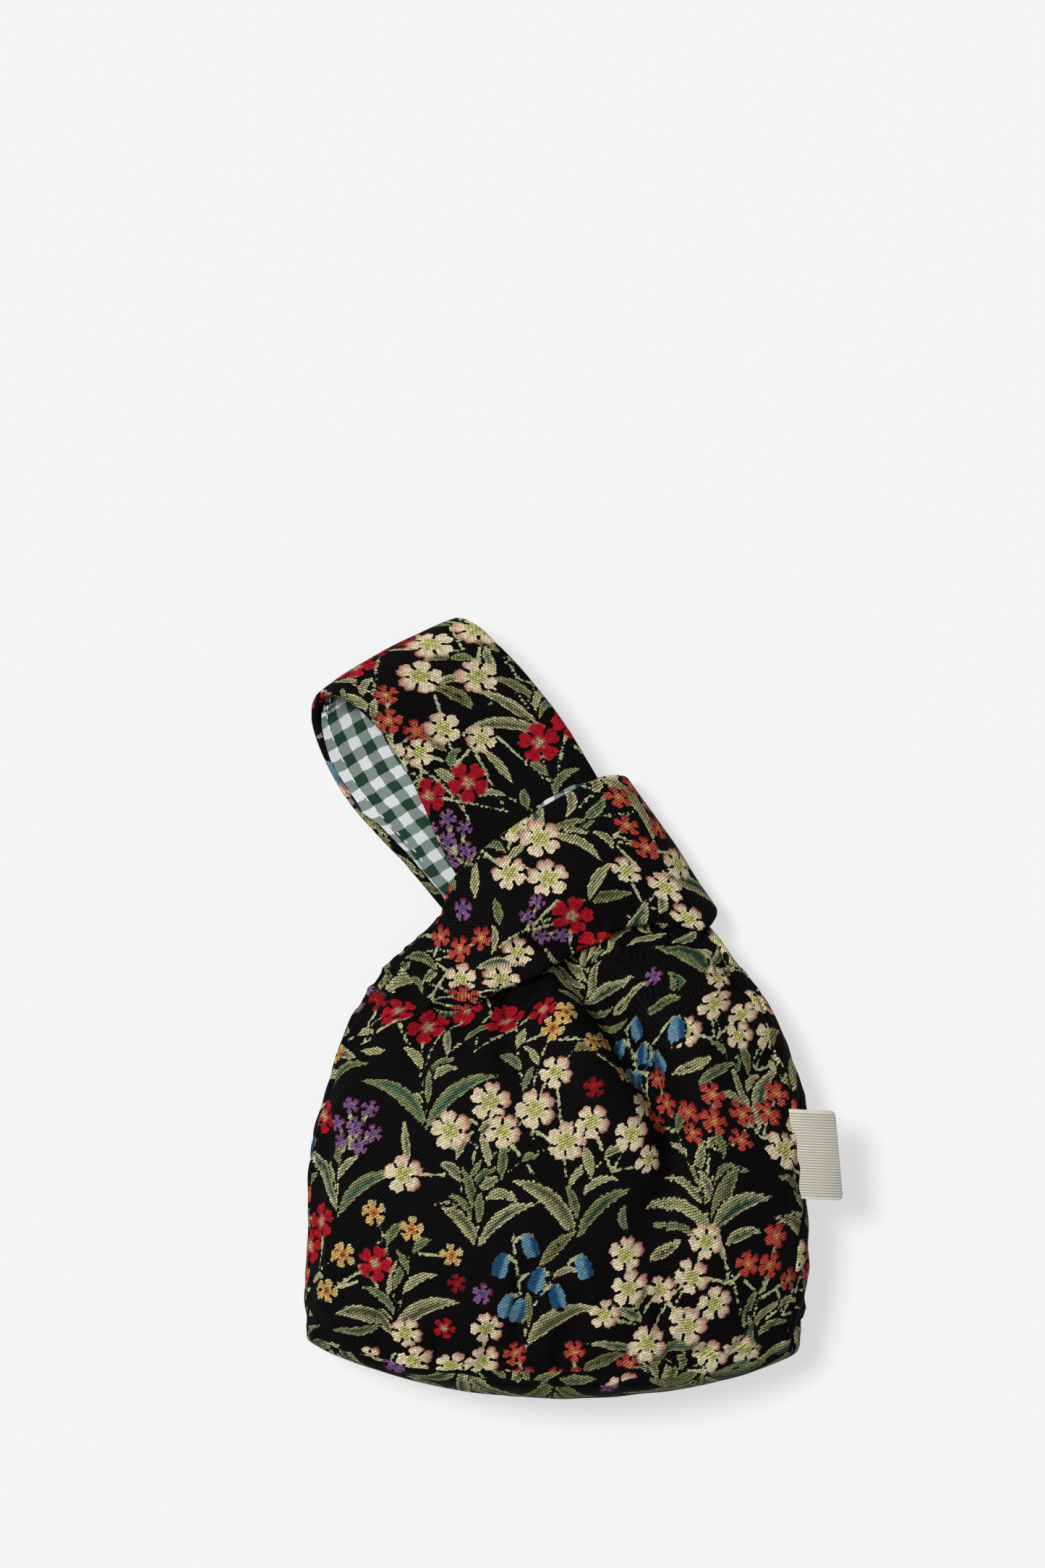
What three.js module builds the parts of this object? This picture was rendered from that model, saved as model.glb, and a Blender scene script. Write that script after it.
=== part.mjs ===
// Japanese knot bag, lying on its back with its long handle drawn through the short one.
// Millimetres. +Z is up from the table, +Y runs from the base of the bag towards its handles.
// The origin is on the table, in the middle of the flat patch that the back panel rests on.
import * as THREE from "three";

// Driving dimensions
const bodyWidth = 218;
const bodyLength = 204;
const bodyDepth = 58;
const baseBulge = 3;
const handleWidth = 70;
const wristLoopReach = 130;
const wristLoopRise = 22;
const knotAngle = THREE.MathUtils.degToRad(38);

// Heights above the table of the long handle's two strands where the short handle holds them
const strandTop = 22;
const strandFloor = 4;

// Cloth layers, from the outside in
const shellThickness = 1.4;
const paddingThickness = 1.6;
const handlePaddingThickness = 0.8;
const basePaddingThickness = 2;
const liningThickness = 0.6;
const layerGap = 0.4;
const seamGap = 0.7;

// Room between pieces that move past each other, meet at a joint, or meet at the seam in a fold
const slideClearance = 1.2;
const jointGap = 0.5;
const foldSeamGap = 1.5;

// The folded ribbon label in the right side seam
const labelWidth = 38;
const labelReach = 15.5;
const labelLean = THREE.MathUtils.degToRad(-8);
const labelDroop = 3;
const labelStandoff = 1.2;
const ribbonThickness = 0.5;
const ribbonGap = 0.4;

// How finely each surface is divided
const bodyAcrossCount = 18;
const bodyAlongCount = 14;
const frontAcrossCount = 28;
const frontAlongCount = 20;
const foldStepCount = 60;
const baseDownCount = 3;
const handleAcrossCount = 4;
const strandAlongCount = 12;
const rootAlongCount = 4;
const ringAroundCount = 16;
const labelAlongCount = 14;
const labelAcrossCount = 2;
const slopeStep = 1e-3;

// Side edges of the body from the base to the neck, as shares of bodyWidth and bodyLength
const leftEdgeShares = [
  [-0.486, -0.303], [-0.495, -0.225], [-0.496, -0.108], [-0.487, 0.069], [-0.46, 0.206],
  [-0.42, 0.333], [-0.363, 0.446], [-0.315, 0.51], [-0.265, 0.565],
];
const rightEdgeShares = [
  [0.475, -0.326], [0.49, -0.24], [0.501, -0.118], [0.497, 0.059], [0.468, 0.206],
  [0.432, 0.343], [0.374, 0.456], [0.297, 0.556], [0.197, 0.728],
];
// Front height as shares of bodyDepth, except at the neck, which comes last and meets the long handle
const crownShares = [0.79, 0.92, 1, 0.99, 0.91, 0.76, 0.57, 0.44];
// Lift of the back off the table as shares of strandFloor
const floorShares = [0, 0, 0, 0, 0, 0.3, 1.15, 1.25, 1.25];
// How far the middle of each cross line sits towards the base, as shares of bodyLength
const sagShares = [0.08, 0.07, 0.05, 0.02, 0, -0.01, -0.01, 0.01, 0.03];

// Cross section of the body
const widestHeightShare = 0.42;
const frontRoundness = 2.1;
const backRoundness = 3;
const backFlatShare = 1.06;

// Main folds of the front, which fan out from the knot: the valley below it, the strand on its right and the
// crease at the left shoulder. Each row has a place, across in shares of bodyWidth and along in shares of
// bodyLength, then a depth in shares of bodyDepth and a half width in shares of bodyWidth. A negative depth
// is a ridge.
const frontFoldShares = [
  [
    [0.01, 0.45, 0.16, 0.05], [0.09, 0.35, 0.18, 0.055], [0.16, 0.235, 0.18, 0.055], [0.207, 0.142, 0.13, 0.06],
    [0.21, 0.05, 0.07, 0.065], [0.174, -0.07, 0.03, 0.07], [0.14, -0.24, 0, 0.08],
  ],
  [[0.21, 0.47, 0, 0.05], [0.25, 0.36, -0.07, 0.06], [0.3, 0.22, -0.05, 0.065], [0.33, 0.05, 0, 0.07]],
  [[-0.19, 0.4, 0, 0.035], [-0.25, 0.36, 0.07, 0.04], [-0.285, 0.23, 0.05, 0.045], [-0.27, 0.08, 0, 0.06]],
];
// The folds fade out towards the side seams, and towards the neck between these shares of the way up
const foldSeamFadeShare = 0.12;
const foldNeckFadeShares = [0.84, 0.95];

// The side seams end where the panels part on their way to the handles
const rightSeamAngle = THREE.MathUtils.degToRad(17);
const leftSeamAngle = THREE.MathUtils.degToRad(8);
const partingAngle = THREE.MathUtils.degToRad(30);
const partingStartShare = 0.5;

// Middle of the knot, as shares of bodyWidth and bodyLength
const knotShares = [0.025, 0.644];

// The short handle's two edges round the long one, from the body's left shoulder over the front to the fold
// on the right and back underneath: across and along the knot in shares of handleWidth. The upper edge's height
// is in shares of the strap's top over the long handle, and the lower edge's, over the body, in shares of bodyDepth.
const ringUpperEdgeShares = [
  [-0.8, 0.33, 0.88], [-0.58, 0.45, 0.97], [-0.34, 0.485, 1], [-0.08, 0.48, 1.01], [0.18, 0.455, 1.01],
  [0.4, 0.42, 1.01], [0.57, 0.37, 0.93], [0.645, 0.3, 0.5], [0.57, 0.34, 0.07], [0.4, 0.38, 0],
  [0.18, 0.41, 0], [-0.08, 0.42, 0], [-0.34, 0.41, 0], [-0.58, 0.38, 0], [-0.8, 0.34, 0],
];
const ringLowerEdgeShares = [
  [-0.8, -0.24, 0.79], [-0.58, -0.305, 0.77], [-0.34, -0.345, 0.725], [-0.1, -0.39, 0.67], [0.12, -0.45, 0.59],
  [0.3, -0.58, 0.52], [0.45, -0.74, 0.41], [0.57, -0.7, 0.193], [0.48, -0.6, 0.028], [0.32, -0.5, 0],
  [0.12, -0.38, 0], [-0.1, -0.29, 0], [-0.34, -0.22, 0], [-0.58, -0.16, 0], [-0.8, -0.1, 0],
];

// The wrist loop's two edges, from the hinge line out along the front strand, over the seam at the far end and
// back underneath: across in shares of handleWidth, along in shares of wristLoopReach, and height over the
// hinge line in shares of wristLoopRise
const loopRightEdgeShares = [
  [0.526, 0.385, 0], [0.54, 0.5, 0.07], [0.545, 0.64, 0.15], [0.53, 0.76, 0.2], [0.5, 0.86, 0.1],
  [0.44, 0.905, -0.35], [0.37, 0.86, -0.85], [0.31, 0.76, -1], [0.27, 0.64, -0.97], [0.25, 0.5, -0.88],
  [0.24, 0.385, -0.82],
];
const loopLeftEdgeShares = [
  [-0.49, 0.385, 0], [-0.43, 0.49, 0.03], [-0.37, 0.65, 0.12], [-0.36, 0.81, 0.18], [-0.42, 0.94, 0.1],
  [-0.53, 0.995, -0.35], [-0.64, 0.955, -0.85], [-0.73, 0.83, -1], [-0.78, 0.68, -0.97], [-0.77, 0.53, -0.88],
  [-0.74, 0.385, -0.82],
];

// Both handles are cut in two at the seam in the middle of their edge tables
const handleSeamShare = 0.5;

// The stretch of the neck that each half of the long handle grows from, as shares of the panel's own width there
const frontRootShares = [0.97, 0.2];
const backRootShares = [0.8, 0.05];

// Middle of the label along the right side seam, from the base
const labelSeamShare = 0.39;

// Colours
const clothColour = 0x1b1a15;
const ginghamColour = 0x8fa197;
const fleeceColour = 0xe8e4da;
const ribbonColour = 0xd9d2c0;

function material(colour, roughness) {
  return new THREE.MeshStandardMaterial({ color: colour, roughness, metalness: 0 });
}

const shellCloth = material(clothColour, 0.85);
const liningCloth = material(ginghamColour, 0.8);
const fleece = material(fleeceColour, 0.95);
const ribbonCloth = material(ribbonColour, 0.7);

const bag = new THREE.Group();

// Smooth curve through a table of places, sampled from 0 to 1
function curveThrough(rows) {
  const points = rows.map(([x, y, z = 0]) => new THREE.Vector3(x, y, z));
  return new THREE.CatmullRomCurve3(points, false, "catmullrom");
}

function scaled(shares, ...sizes) {
  return shares.map((row) => row.map((share, i) => share * sizes[i]));
}

function mix(start, end, share) {
  return start + (end - start) * share;
}

// Surface direction at a place, by small steps to either side that stay within the surface
function normalAt(place, a, b) {
  const before = (share) => Math.max(share - slopeStep, 0);
  const after = (share) => Math.min(share + slopeStep, 1);
  const alongA = place(after(a), b).sub(place(before(a), b));
  const alongB = place(a, after(b)).sub(place(a, before(b)));
  return alongA.cross(alongB).normalize();
}

// A closed solid between two depths below a surface. place(a, b) gives its points, for a and b from 0 to 1.
function sheet(place, countA, countB, nearDepth, farDepth) {
  const positions = [];
  const rows = countB + 1;
  const layerSize = (countA + 1) * rows;
  for (const depth of [nearDepth, farDepth]) {
    for (let i = 0; i <= countA; i++) {
      for (let j = 0; j <= countB; j++) {
        const a = i / countA;
        const b = j / countB;
        positions.push(...place(a, b).addScaledVector(normalAt(place, a, b), -depth));
      }
    }
  }
  const index = [];
  const at = (i, j, layer) => layer * layerSize + i * rows + j;
  const quad = (p, q, r, s) => index.push(p, q, r, p, r, s);
  for (let i = 0; i < countA; i++) {
    for (let j = 0; j < countB; j++) {
      quad(at(i, j, 0), at(i + 1, j, 0), at(i + 1, j + 1, 0), at(i, j + 1, 0));
      quad(at(i, j, 1), at(i, j + 1, 1), at(i + 1, j + 1, 1), at(i + 1, j, 1));
    }
  }
  for (let i = 0; i < countA; i++) {
    quad(at(i, 0, 0), at(i, 0, 1), at(i + 1, 0, 1), at(i + 1, 0, 0));
    quad(at(i, countB, 0), at(i + 1, countB, 0), at(i + 1, countB, 1), at(i, countB, 1));
  }
  for (let j = 0; j < countB; j++) {
    quad(at(0, j, 0), at(0, j + 1, 0), at(0, j + 1, 1), at(0, j, 1));
    quad(at(countA, j, 0), at(countA, j, 1), at(countA, j + 1, 1), at(countA, j + 1, 0));
  }
  const geometry = new THREE.BufferGeometry();
  geometry.setAttribute("position", new THREE.Float32BufferAttribute(positions, 3));
  geometry.setIndex(index);
  return geometry;
}

function addMesh(name, geometry, finish) {
  const mesh = new THREE.Mesh(geometry, finish);
  mesh.name = name;
  bag.add(mesh);
}

// Shell, middle layer and lining below one surface, each a layerGap apart
function addLayers(name, place, counts, middle) {
  const layers = [
    { name: "shell", depth: shellThickness, finish: shellCloth },
    middle,
    { name: "lining", depth: liningThickness, finish: liningCloth },
  ];
  let start = 0;
  for (const layer of layers) {
    const geometry = sheet(place, counts[0], counts[1], start, start + layer.depth);
    addMesh(`${name}_${layer.name}`, geometry, layer.finish);
    start += layer.depth + layerGap;
  }
}

const padding = { name: "padding", depth: paddingThickness, finish: fleece };
const interfacing = { name: "interfacing", depth: handlePaddingThickness, finish: fleece };
const basePadding = { name: "padding", depth: basePaddingThickness, finish: fleece };

const handleThickness = shellThickness + handlePaddingThickness + liningThickness + 2 * layerGap;
const baseThickness = shellThickness + basePaddingThickness + liningThickness + 2 * layerGap;

// Body

const leftEdge = curveThrough(scaled(leftEdgeShares, bodyWidth, bodyLength));
const rightEdge = curveThrough(scaled(rightEdgeShares, bodyWidth, bodyLength));
const crowns = [...crownShares.map((share) => share * bodyDepth), strandTop];
const profile = curveThrough(
  crowns.map((crown, i) => [crown, floorShares[i] * strandFloor, sagShares[i] * bodyLength]),
);

// A point of the closed section of the body at a share v of the way up. The angle runs from the right over the front.
function sectionPoint(angle, v) {
  const left = leftEdge.getPoint(v);
  const right = rightEdge.getPoint(v);
  const { x: crown, y: curvedFloor, z: sag } = profile.getPoint(v);
  const floor = Math.max(curvedFloor, 0);
  const across = Math.cos(angle);
  const half = right.clone().sub(left).multiplyScalar(0.5);
  const down = new THREE.Vector3(half.y, -half.x, 0).normalize();
  const point = left.clone().add(half).addScaledVector(half, across);
  point.addScaledVector(down, sag * (1 - across * across));
  const widest = mix(floor, crown, widestHeightShare);
  if (Math.sin(angle) >= 0) {
    const rise = (1 - Math.abs(across) ** frontRoundness) ** (1 / frontRoundness);
    point.z = mix(widest, crown, rise);
  } else {
    const fall = (1 - Math.abs(across) ** backRoundness) ** (1 / backRoundness);
    point.z = Math.max(floor, mix(widest, floor, fall * backFlatShare));
  }
  return point;
}

const seamAngleGap = seamGap / bodyDepth / 2;

// The angle of a panel's edge at a side seam: side is 1 for the front panel and -1 for the back panel
function edgeAngle(seamAngle, v, side) {
  const parting = THREE.MathUtils.smoothstep(v, partingStartShare, 1);
  return mix(seamAngle, side * partingAngle, parting) + side * seamAngleGap;
}

const frontFolds = frontFoldShares.map((rows) => {
  const places = curveThrough(rows.map(([across, along]) => [across * bodyWidth, along * bodyLength]));
  const sizes = curveThrough(rows.map(([, , depth, width]) => [depth * bodyDepth, width * bodyWidth]));
  return { places: places.getPoints(foldStepCount), sizes: sizes.getPoints(foldStepCount) };
});

// How far the folds lower the front at a point of it
function foldDepth(point) {
  let total = 0;
  for (const { places, sizes } of frontFolds) {
    const distances = places.map((place) => Math.hypot(point.x - place.x, point.y - place.y));
    const distance = Math.min(...distances);
    const { x: depth, y: halfWidth } = sizes[distances.indexOf(distance)];
    total += depth * Math.exp(-((distance / halfWidth) ** 2));
  }
  return total;
}

function foldFade(a, v) {
  const { smoothstep } = THREE.MathUtils;
  const fromSeam = smoothstep(Math.min(a, 1 - a), 0, foldSeamFadeShare);
  return fromSeam * (1 - smoothstep(v, ...foldNeckFadeShares));
}

function frontPoint(a, v) {
  const start = Math.PI - edgeAngle(leftSeamAngle, v, 1);
  const point = sectionPoint(mix(start, edgeAngle(rightSeamAngle, v, 1), a), v);
  point.z -= foldDepth(point) * foldFade(a, v);
  return point;
}

function backPoint(a, v) {
  const end = -Math.PI - edgeAngle(leftSeamAngle, v, -1);
  return sectionPoint(mix(edgeAngle(rightSeamAngle, v, -1), end, a), v);
}

addLayers("front_panel", frontPoint, [frontAcrossCount, frontAlongCount], padding);
addLayers("back_panel", backPoint, [bodyAcrossCount, bodyAlongCount], padding);

// Base, a curved wall that caps the open ends of the two panels

const baseTipShare = 0.02;

function basePoint(a, b) {
  const angle = Math.PI * mix(baseTipShare, 1 - baseTipShare, a);
  const point = sectionPoint(angle, 0).lerp(sectionPoint(-angle, 0), b);
  const fullness = Math.sin(angle) * 4 * b * (1 - b);
  point.y -= baseBulge * fullness + baseThickness + layerGap;
  return point;
}

addLayers("base", basePoint, [bodyAcrossCount, baseDownCount], basePadding);

// The knot has its own directions: across it, from lower left to upper right, and along the long handle

const knotCentre = new THREE.Vector3(knotShares[0] * bodyWidth, knotShares[1] * bodyLength, 0);
const acrossKnot = new THREE.Vector3(Math.cos(knotAngle), Math.sin(knotAngle), 0);
const alongKnot = new THREE.Vector3(-Math.sin(knotAngle), Math.cos(knotAngle), 0);

// Surface of a strap between its two edge curves, which are given as [across, along, height]
function strapBetween(edge, farEdge) {
  return (a, b) => {
    const point = edge.getPoint(a).lerp(farEdge.getPoint(a), b);
    const height = Math.max(point.z, 0);
    return knotCentre
      .clone()
      .addScaledVector(acrossKnot, point.x)
      .addScaledVector(alongKnot, point.y)
      .setZ(height);
  };
}

// The strap's halves before and after its seam, each drawn back from both of its ends
function addStrap(name, strap, length, counts) {
  const endTrim = jointGap / 2 / length;
  const seamTrim = foldSeamGap / 2 / length;
  const near = (a, b) => strap(mix(endTrim, handleSeamShare - seamTrim, a), b);
  const far = (a, b) => strap(mix(handleSeamShare + seamTrim, 1 - endTrim, a), b);
  addLayers(`${name}_front`, near, counts, interfacing);
  addLayers(`${name}_back`, far, counts, interfacing);
}

// Short handle, a ring round the long one

const ringTop = strandTop + slideClearance + handleThickness;
const ring = strapBetween(
  curveThrough(scaled(ringLowerEdgeShares, handleWidth, handleWidth, bodyDepth)),
  curveThrough(scaled(ringUpperEdgeShares, handleWidth, handleWidth, ringTop)),
);
addStrap("short_handle", ring, 4 * handleWidth, [ringAroundCount, handleAcrossCount]);

// Wrist loop of the long handle, beyond the hinge line

function loopEdge(shares) {
  const rows = scaled(shares, handleWidth, wristLoopReach, wristLoopRise);
  return curveThrough(rows.map(([across, along, height]) => [across, along, height + strandTop]));
}

const wristLoop = strapBetween(loopEdge(loopRightEdgeShares), loopEdge(loopLeftEdgeShares));
addStrap("long_handle", wristLoop, 2 * wristLoopReach, [strandAlongCount, handleAcrossCount]);

// Roots of the long handle, from the neck of the body to the hinge line

function rootBetween(neckPlace, neckShares, loopEnd) {
  return (a, b) => {
    const neck = neckPlace(mix(neckShares[0], neckShares[1], b), 1);
    const reach = wristLoop(loopEnd, b).sub(neck);
    const gapShare = jointGap / reach.length();
    return neck.addScaledVector(reach, mix(gapShare, 1 - gapShare / 2, a));
  };
}

const frontRoot = rootBetween(frontPoint, frontRootShares, 0);
const backRoot = rootBetween((a, v) => backPoint(1 - a, v), backRootShares, 1);
const rootCounts = [rootAlongCount, handleAcrossCount];
addLayers("long_handle_front_root", frontRoot, rootCounts, interfacing);
addLayers("long_handle_back_root", (a, b) => backRoot(a, 1 - b), rootCounts, interfacing);

// Side label, a ribbon folded in half with both ends at the seam

const nearLabel = (step) => frontPoint(1, labelSeamShare + step);
const labelMiddle = nearLabel(0);
const labelSide = nearLabel(slopeStep).sub(nearLabel(-slopeStep)).setZ(0).normalize();
const upward = new THREE.Vector3(0, 0, 1);
const labelOut = new THREE.Vector3(labelSide.y, -labelSide.x, 0).applyAxisAngle(upward, labelLean);
const labelHalfHeight = ribbonThickness + ribbonGap / 2;
const labelPath = curveThrough([
  [labelStandoff, labelHalfHeight],
  [labelStandoff + labelReach / 2, labelHalfHeight],
  [labelStandoff + labelReach - labelHalfHeight, labelHalfHeight],
  [labelStandoff + labelReach, 0],
  [labelStandoff + labelReach - labelHalfHeight, -labelHalfHeight],
  [labelStandoff + labelReach / 2, -labelHalfHeight],
  [labelStandoff, -labelHalfHeight],
]);

function labelPoint(a, b) {
  const { x: out, y: height } = labelPath.getPoint(a);
  return labelMiddle
    .clone()
    .addScaledVector(labelSide, labelWidth * (b - 0.5))
    .addScaledVector(labelOut, out)
    .add(new THREE.Vector3(0, 0, height - labelDroop * (out / labelReach) ** 2));
}

addMesh("side_label", sheet(labelPoint, labelAlongCount, labelAcrossCount, 0, ribbonThickness), ribbonCloth);

export default bag;
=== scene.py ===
import math

import bpy
import numpy as np
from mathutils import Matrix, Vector
from mathutils.bvhtree import BVHTree


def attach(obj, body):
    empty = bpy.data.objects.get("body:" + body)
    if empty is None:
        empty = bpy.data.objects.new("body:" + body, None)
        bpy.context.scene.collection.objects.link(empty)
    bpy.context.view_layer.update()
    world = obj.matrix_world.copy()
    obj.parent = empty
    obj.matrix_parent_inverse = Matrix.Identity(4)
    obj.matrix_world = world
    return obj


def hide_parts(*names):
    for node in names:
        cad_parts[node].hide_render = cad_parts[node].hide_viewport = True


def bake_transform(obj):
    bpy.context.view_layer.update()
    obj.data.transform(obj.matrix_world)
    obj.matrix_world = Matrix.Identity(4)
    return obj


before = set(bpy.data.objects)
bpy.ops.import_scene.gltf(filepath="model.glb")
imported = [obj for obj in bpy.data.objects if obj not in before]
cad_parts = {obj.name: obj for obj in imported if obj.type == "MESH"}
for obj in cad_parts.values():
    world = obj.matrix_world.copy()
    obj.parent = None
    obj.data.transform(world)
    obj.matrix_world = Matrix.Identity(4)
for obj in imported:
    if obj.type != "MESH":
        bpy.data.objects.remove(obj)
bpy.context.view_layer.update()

# Lengths below are in millimetres, in the frame's own directions, and become metres when a mesh is made.
metres_per_mm = 0.001

# Driving sizes, the same as the frame's
body_width = 218
body_length = 204
body_depth = 58
base_bulge = 3
handle_width = 70
wrist_loop_reach = 130
wrist_loop_rise = 22
strand_top = 22
strand_floor = 4
body_thickness = 4.2
strap_thickness = 3.6
slide_clearance = 1.2
base_thickness = 4.8
layer_gap = 0.4
seam_gap = 0.5
label_width = 38
label_reach = 15.5
label_lean = math.radians(-8)
label_droop = 3
label_standoff = 1.2
ribbon_thickness = 0.5
ribbon_gap = 0.4
knot_angle = math.radians(38)
right_seam_angle = math.radians(17)
left_seam_angle = math.radians(8)
parting_angle = math.radians(30)
right_parting_start = 0.74
left_parting_start = 0.5
label_seam_share = 0.39

# The grids' squares, how far a rolled edge is tucked in, and how far above the floor the cloths stay
cloth_cell = 0.75
lining_cell = 2.0
edge_tuck = 1.2
lowest_outer = 0.2
lowest_inner = 0.3

# Keeps a division from dividing by zero
tiny = 1e-9

# The shape's tables, as shares of the driving sizes
left_edge_shares = [
    [-0.492, -0.303], [-0.495, -0.225], [-0.49, -0.108], [-0.486, 0.069], [-0.452, 0.206],
    [-0.415, 0.333], [-0.357, 0.446], [-0.311, 0.51], [-0.265, 0.565],
]
right_edge_shares = [
    [0.47, -0.326], [0.481, -0.24], [0.49, -0.118], [0.492, 0.059], [0.469, 0.206],
    [0.427, 0.343], [0.363, 0.456], [0.291, 0.556], [0.197, 0.728],
]
crown_shares = [0.79, 0.92, 1, 0.99, 0.91, 0.76, 0.57, 0.44]
floor_shares = [0, 0, 0, 0, 0, 0.3, 1.15, 1.25, 1.25]
sag_shares = [0.08, 0.07, 0.05, 0.02, 0, -0.01, -0.01, 0.01, 0.03]
widest_height_share = 0.42
front_roundness = 2.1
back_roundness = 3
back_flat_share = 1.06
ring_upper_edge_shares = [
    [-0.8, 0.305, 0.88], [-0.58, 0.45, 0.97], [-0.34, 0.485, 1], [-0.08, 0.48, 1.01], [0.18, 0.455, 1.01],
    [0.4, 0.42, 1.01], [0.58, 0.37, 0.93], [0.66, 0.3, 0.5], [0.57, 0.34, 0.07], [0.4, 0.38, 0],
    [0.18, 0.41, 0], [-0.08, 0.42, 0], [-0.34, 0.4, 0], [-0.58, 0.34, 0], [-0.8, 0.24, 0],
]
ring_lower_edge_shares = [
    [-0.8, -0.24, 0.79], [-0.58, -0.305, 0.77], [-0.34, -0.345, 0.725], [-0.1, -0.39, 0.67],
    [0.12, -0.45, 0.59], [0.3, -0.58, 0.52], [0.46, -0.74, 0.41], [0.59, -0.7, 0.193], [0.48, -0.6, 0.028],
    [0.32, -0.5, 0], [0.12, -0.38, 0], [-0.1, -0.29, 0], [-0.34, -0.22, 0], [-0.58, -0.16, 0],
    [-0.8, -0.1, 0],
]
loop_right_edge_shares = [
    [0.555, 0.385, 0], [0.562, 0.5, 0.07], [0.552, 0.64, 0.15], [0.53, 0.76, 0.2], [0.5, 0.86, 0.1],
    [0.44, 0.905, -0.35], [0.37, 0.86, -0.85], [0.31, 0.76, -1], [0.27, 0.64, -0.97], [0.25, 0.5, -0.88],
    [0.24, 0.385, -0.82],
]
loop_left_edge_shares = [
    [-0.49, 0.385, 0], [-0.43, 0.49, 0.03], [-0.37, 0.65, 0.12], [-0.36, 0.81, 0.18], [-0.42, 0.94, 0.1],
    [-0.53, 0.995, -0.35], [-0.64, 0.955, -0.85], [-0.73, 0.83, -1], [-0.78, 0.68, -0.97],
    [-0.77, 0.53, -0.88], [-0.74, 0.385, -0.82],
]
front_root_shares = [0.97, 0.2]
back_root_shares = [0.8, 0.05]
knot_shares = [0.025, 0.644]


# Numbers and curves

def mix(start, end, share):
    return start + (end - start) * share


def smoothstep(value, low, high):
    share = np.clip((value - low) / (high - low), 0, 1)
    return share * share * (3 - 2 * share)


def unit(vectors):
    length = np.linalg.norm(vectors, axis=-1, keepdims=True)
    return vectors / np.maximum(length, tiny)


def spline(rows, shares):
    """Points of the smooth curve through rows, at shares of its length from 0 to 1."""
    rows = np.asarray(rows, float)
    last = len(rows) - 1
    position = np.clip(shares, 0, 1) * last
    index = np.minimum(np.floor(position).astype(int), last - 1)
    t = (position - index)[..., None]
    padded = np.vstack([2 * rows[:1] - rows[1:2], rows, 2 * rows[-1:] - rows[-2:-1]])
    before, start, end, after = (padded[index + step] for step in range(4))
    leave = (end - before) / 2
    arrive = (after - start) / 2
    bend = 3 * (end - start) - 2 * leave - arrive
    twist = 2 * (start - end) + leave + arrive
    return start + t * (leave + t * (bend + t * twist))


def scaled(shares, *sizes):
    return np.array(shares) * np.array(sizes)


# Shape of the body, as the frame has it

left_edge = scaled(left_edge_shares, body_width, body_length)
right_edge = scaled(right_edge_shares, body_width, body_length)
crowns = np.append(np.array(crown_shares) * body_depth, strand_top)
profile = np.stack([crowns, np.array(floor_shares) * strand_floor, np.array(sag_shares) * body_length], 1)


def section_point(angle, v):
    """A point of the section at a share v of the way up. The angle runs from the right over the front."""
    angle, v = np.broadcast_arrays(angle, v)
    left = spline(left_edge, v)
    right = spline(right_edge, v)
    crown, floor, sag = np.moveaxis(spline(profile, v), -1, 0)
    floor = np.maximum(floor, 0)
    across = np.cos(angle)
    half = (right - left) / 2
    down = unit(np.stack([half[..., 1], -half[..., 0]], -1))
    flat = left + half + half * across[..., None] + down * (sag * (1 - across**2))[..., None]
    widest = mix(floor, crown, widest_height_share)
    size = np.abs(across)
    rise = np.maximum(1 - size**front_roundness, 0) ** (1 / front_roundness)
    fall = np.maximum(1 - size**back_roundness, 0) ** (1 / back_roundness)
    front = mix(widest, crown, rise)
    back = np.maximum(floor, mix(widest, floor, fall * back_flat_share))
    height = np.where(np.sin(angle) >= 0, front, back)
    return np.concatenate([flat, height[..., None]], -1)


right_seam = (right_seam_angle, right_parting_start)
left_seam = (left_seam_angle, left_parting_start)


def edge_angle(seam, v, side):
    """The angle of a panel's edge at a seam. The side is 1 for the front panel and -1 for the back one."""
    seam_angle, parting_start = seam
    parting = smoothstep(v, parting_start, 1)
    return mix(seam_angle, side * parting_angle, parting) + side * seam_gap / body_depth / 2


def front_angle(a, v):
    return mix(math.pi - edge_angle(left_seam, v, 1), edge_angle(right_seam, v, 1), a)


def back_angle(a, v):
    return mix(edge_angle(right_seam, v, -1), -math.pi - edge_angle(left_seam, v, -1), a)


# Shape of the straps, in directions across the knot and along the long handle

knot_centre = np.array([knot_shares[0] * body_width, knot_shares[1] * body_length, 0])
across_knot = np.array([math.cos(knot_angle), math.sin(knot_angle), 0])
along_knot = np.array([-math.sin(knot_angle), math.cos(knot_angle), 0])


def knot_to_frame(points):
    """Points given as across, along and height."""
    flat = knot_centre + points[..., :1] * across_knot + points[..., 1:2] * along_knot
    flat[..., 2] = np.maximum(points[..., 2], 0)
    return flat


def to_knot(points):
    away = points - knot_centre
    return np.stack([away @ across_knot, away @ along_knot, points[..., 2]], -1)


def strap_between(edge, far_edge, a, b):
    start = spline(edge, a)
    end = spline(far_edge, a)
    return knot_to_frame(mix(start, end, b[..., None]))


ring_top = strand_top + slide_clearance + strap_thickness
ring_lower_edge = scaled(ring_lower_edge_shares, handle_width, handle_width, body_depth)
ring_upper_edge = scaled(ring_upper_edge_shares, handle_width, handle_width, ring_top)
loop_sizes = (handle_width, wrist_loop_reach, wrist_loop_rise)
loop_right_edge = scaled(loop_right_edge_shares, *loop_sizes) + [0, 0, strand_top]
loop_left_edge = scaled(loop_left_edge_shares, *loop_sizes) + [0, 0, strand_top]


# Grids of points: the first index runs across the cloth and the second along it

def grid_normals(points):
    across = np.gradient(points, axis=0)
    along = np.gradient(points, axis=1)
    return unit(np.cross(across, along))


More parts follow.
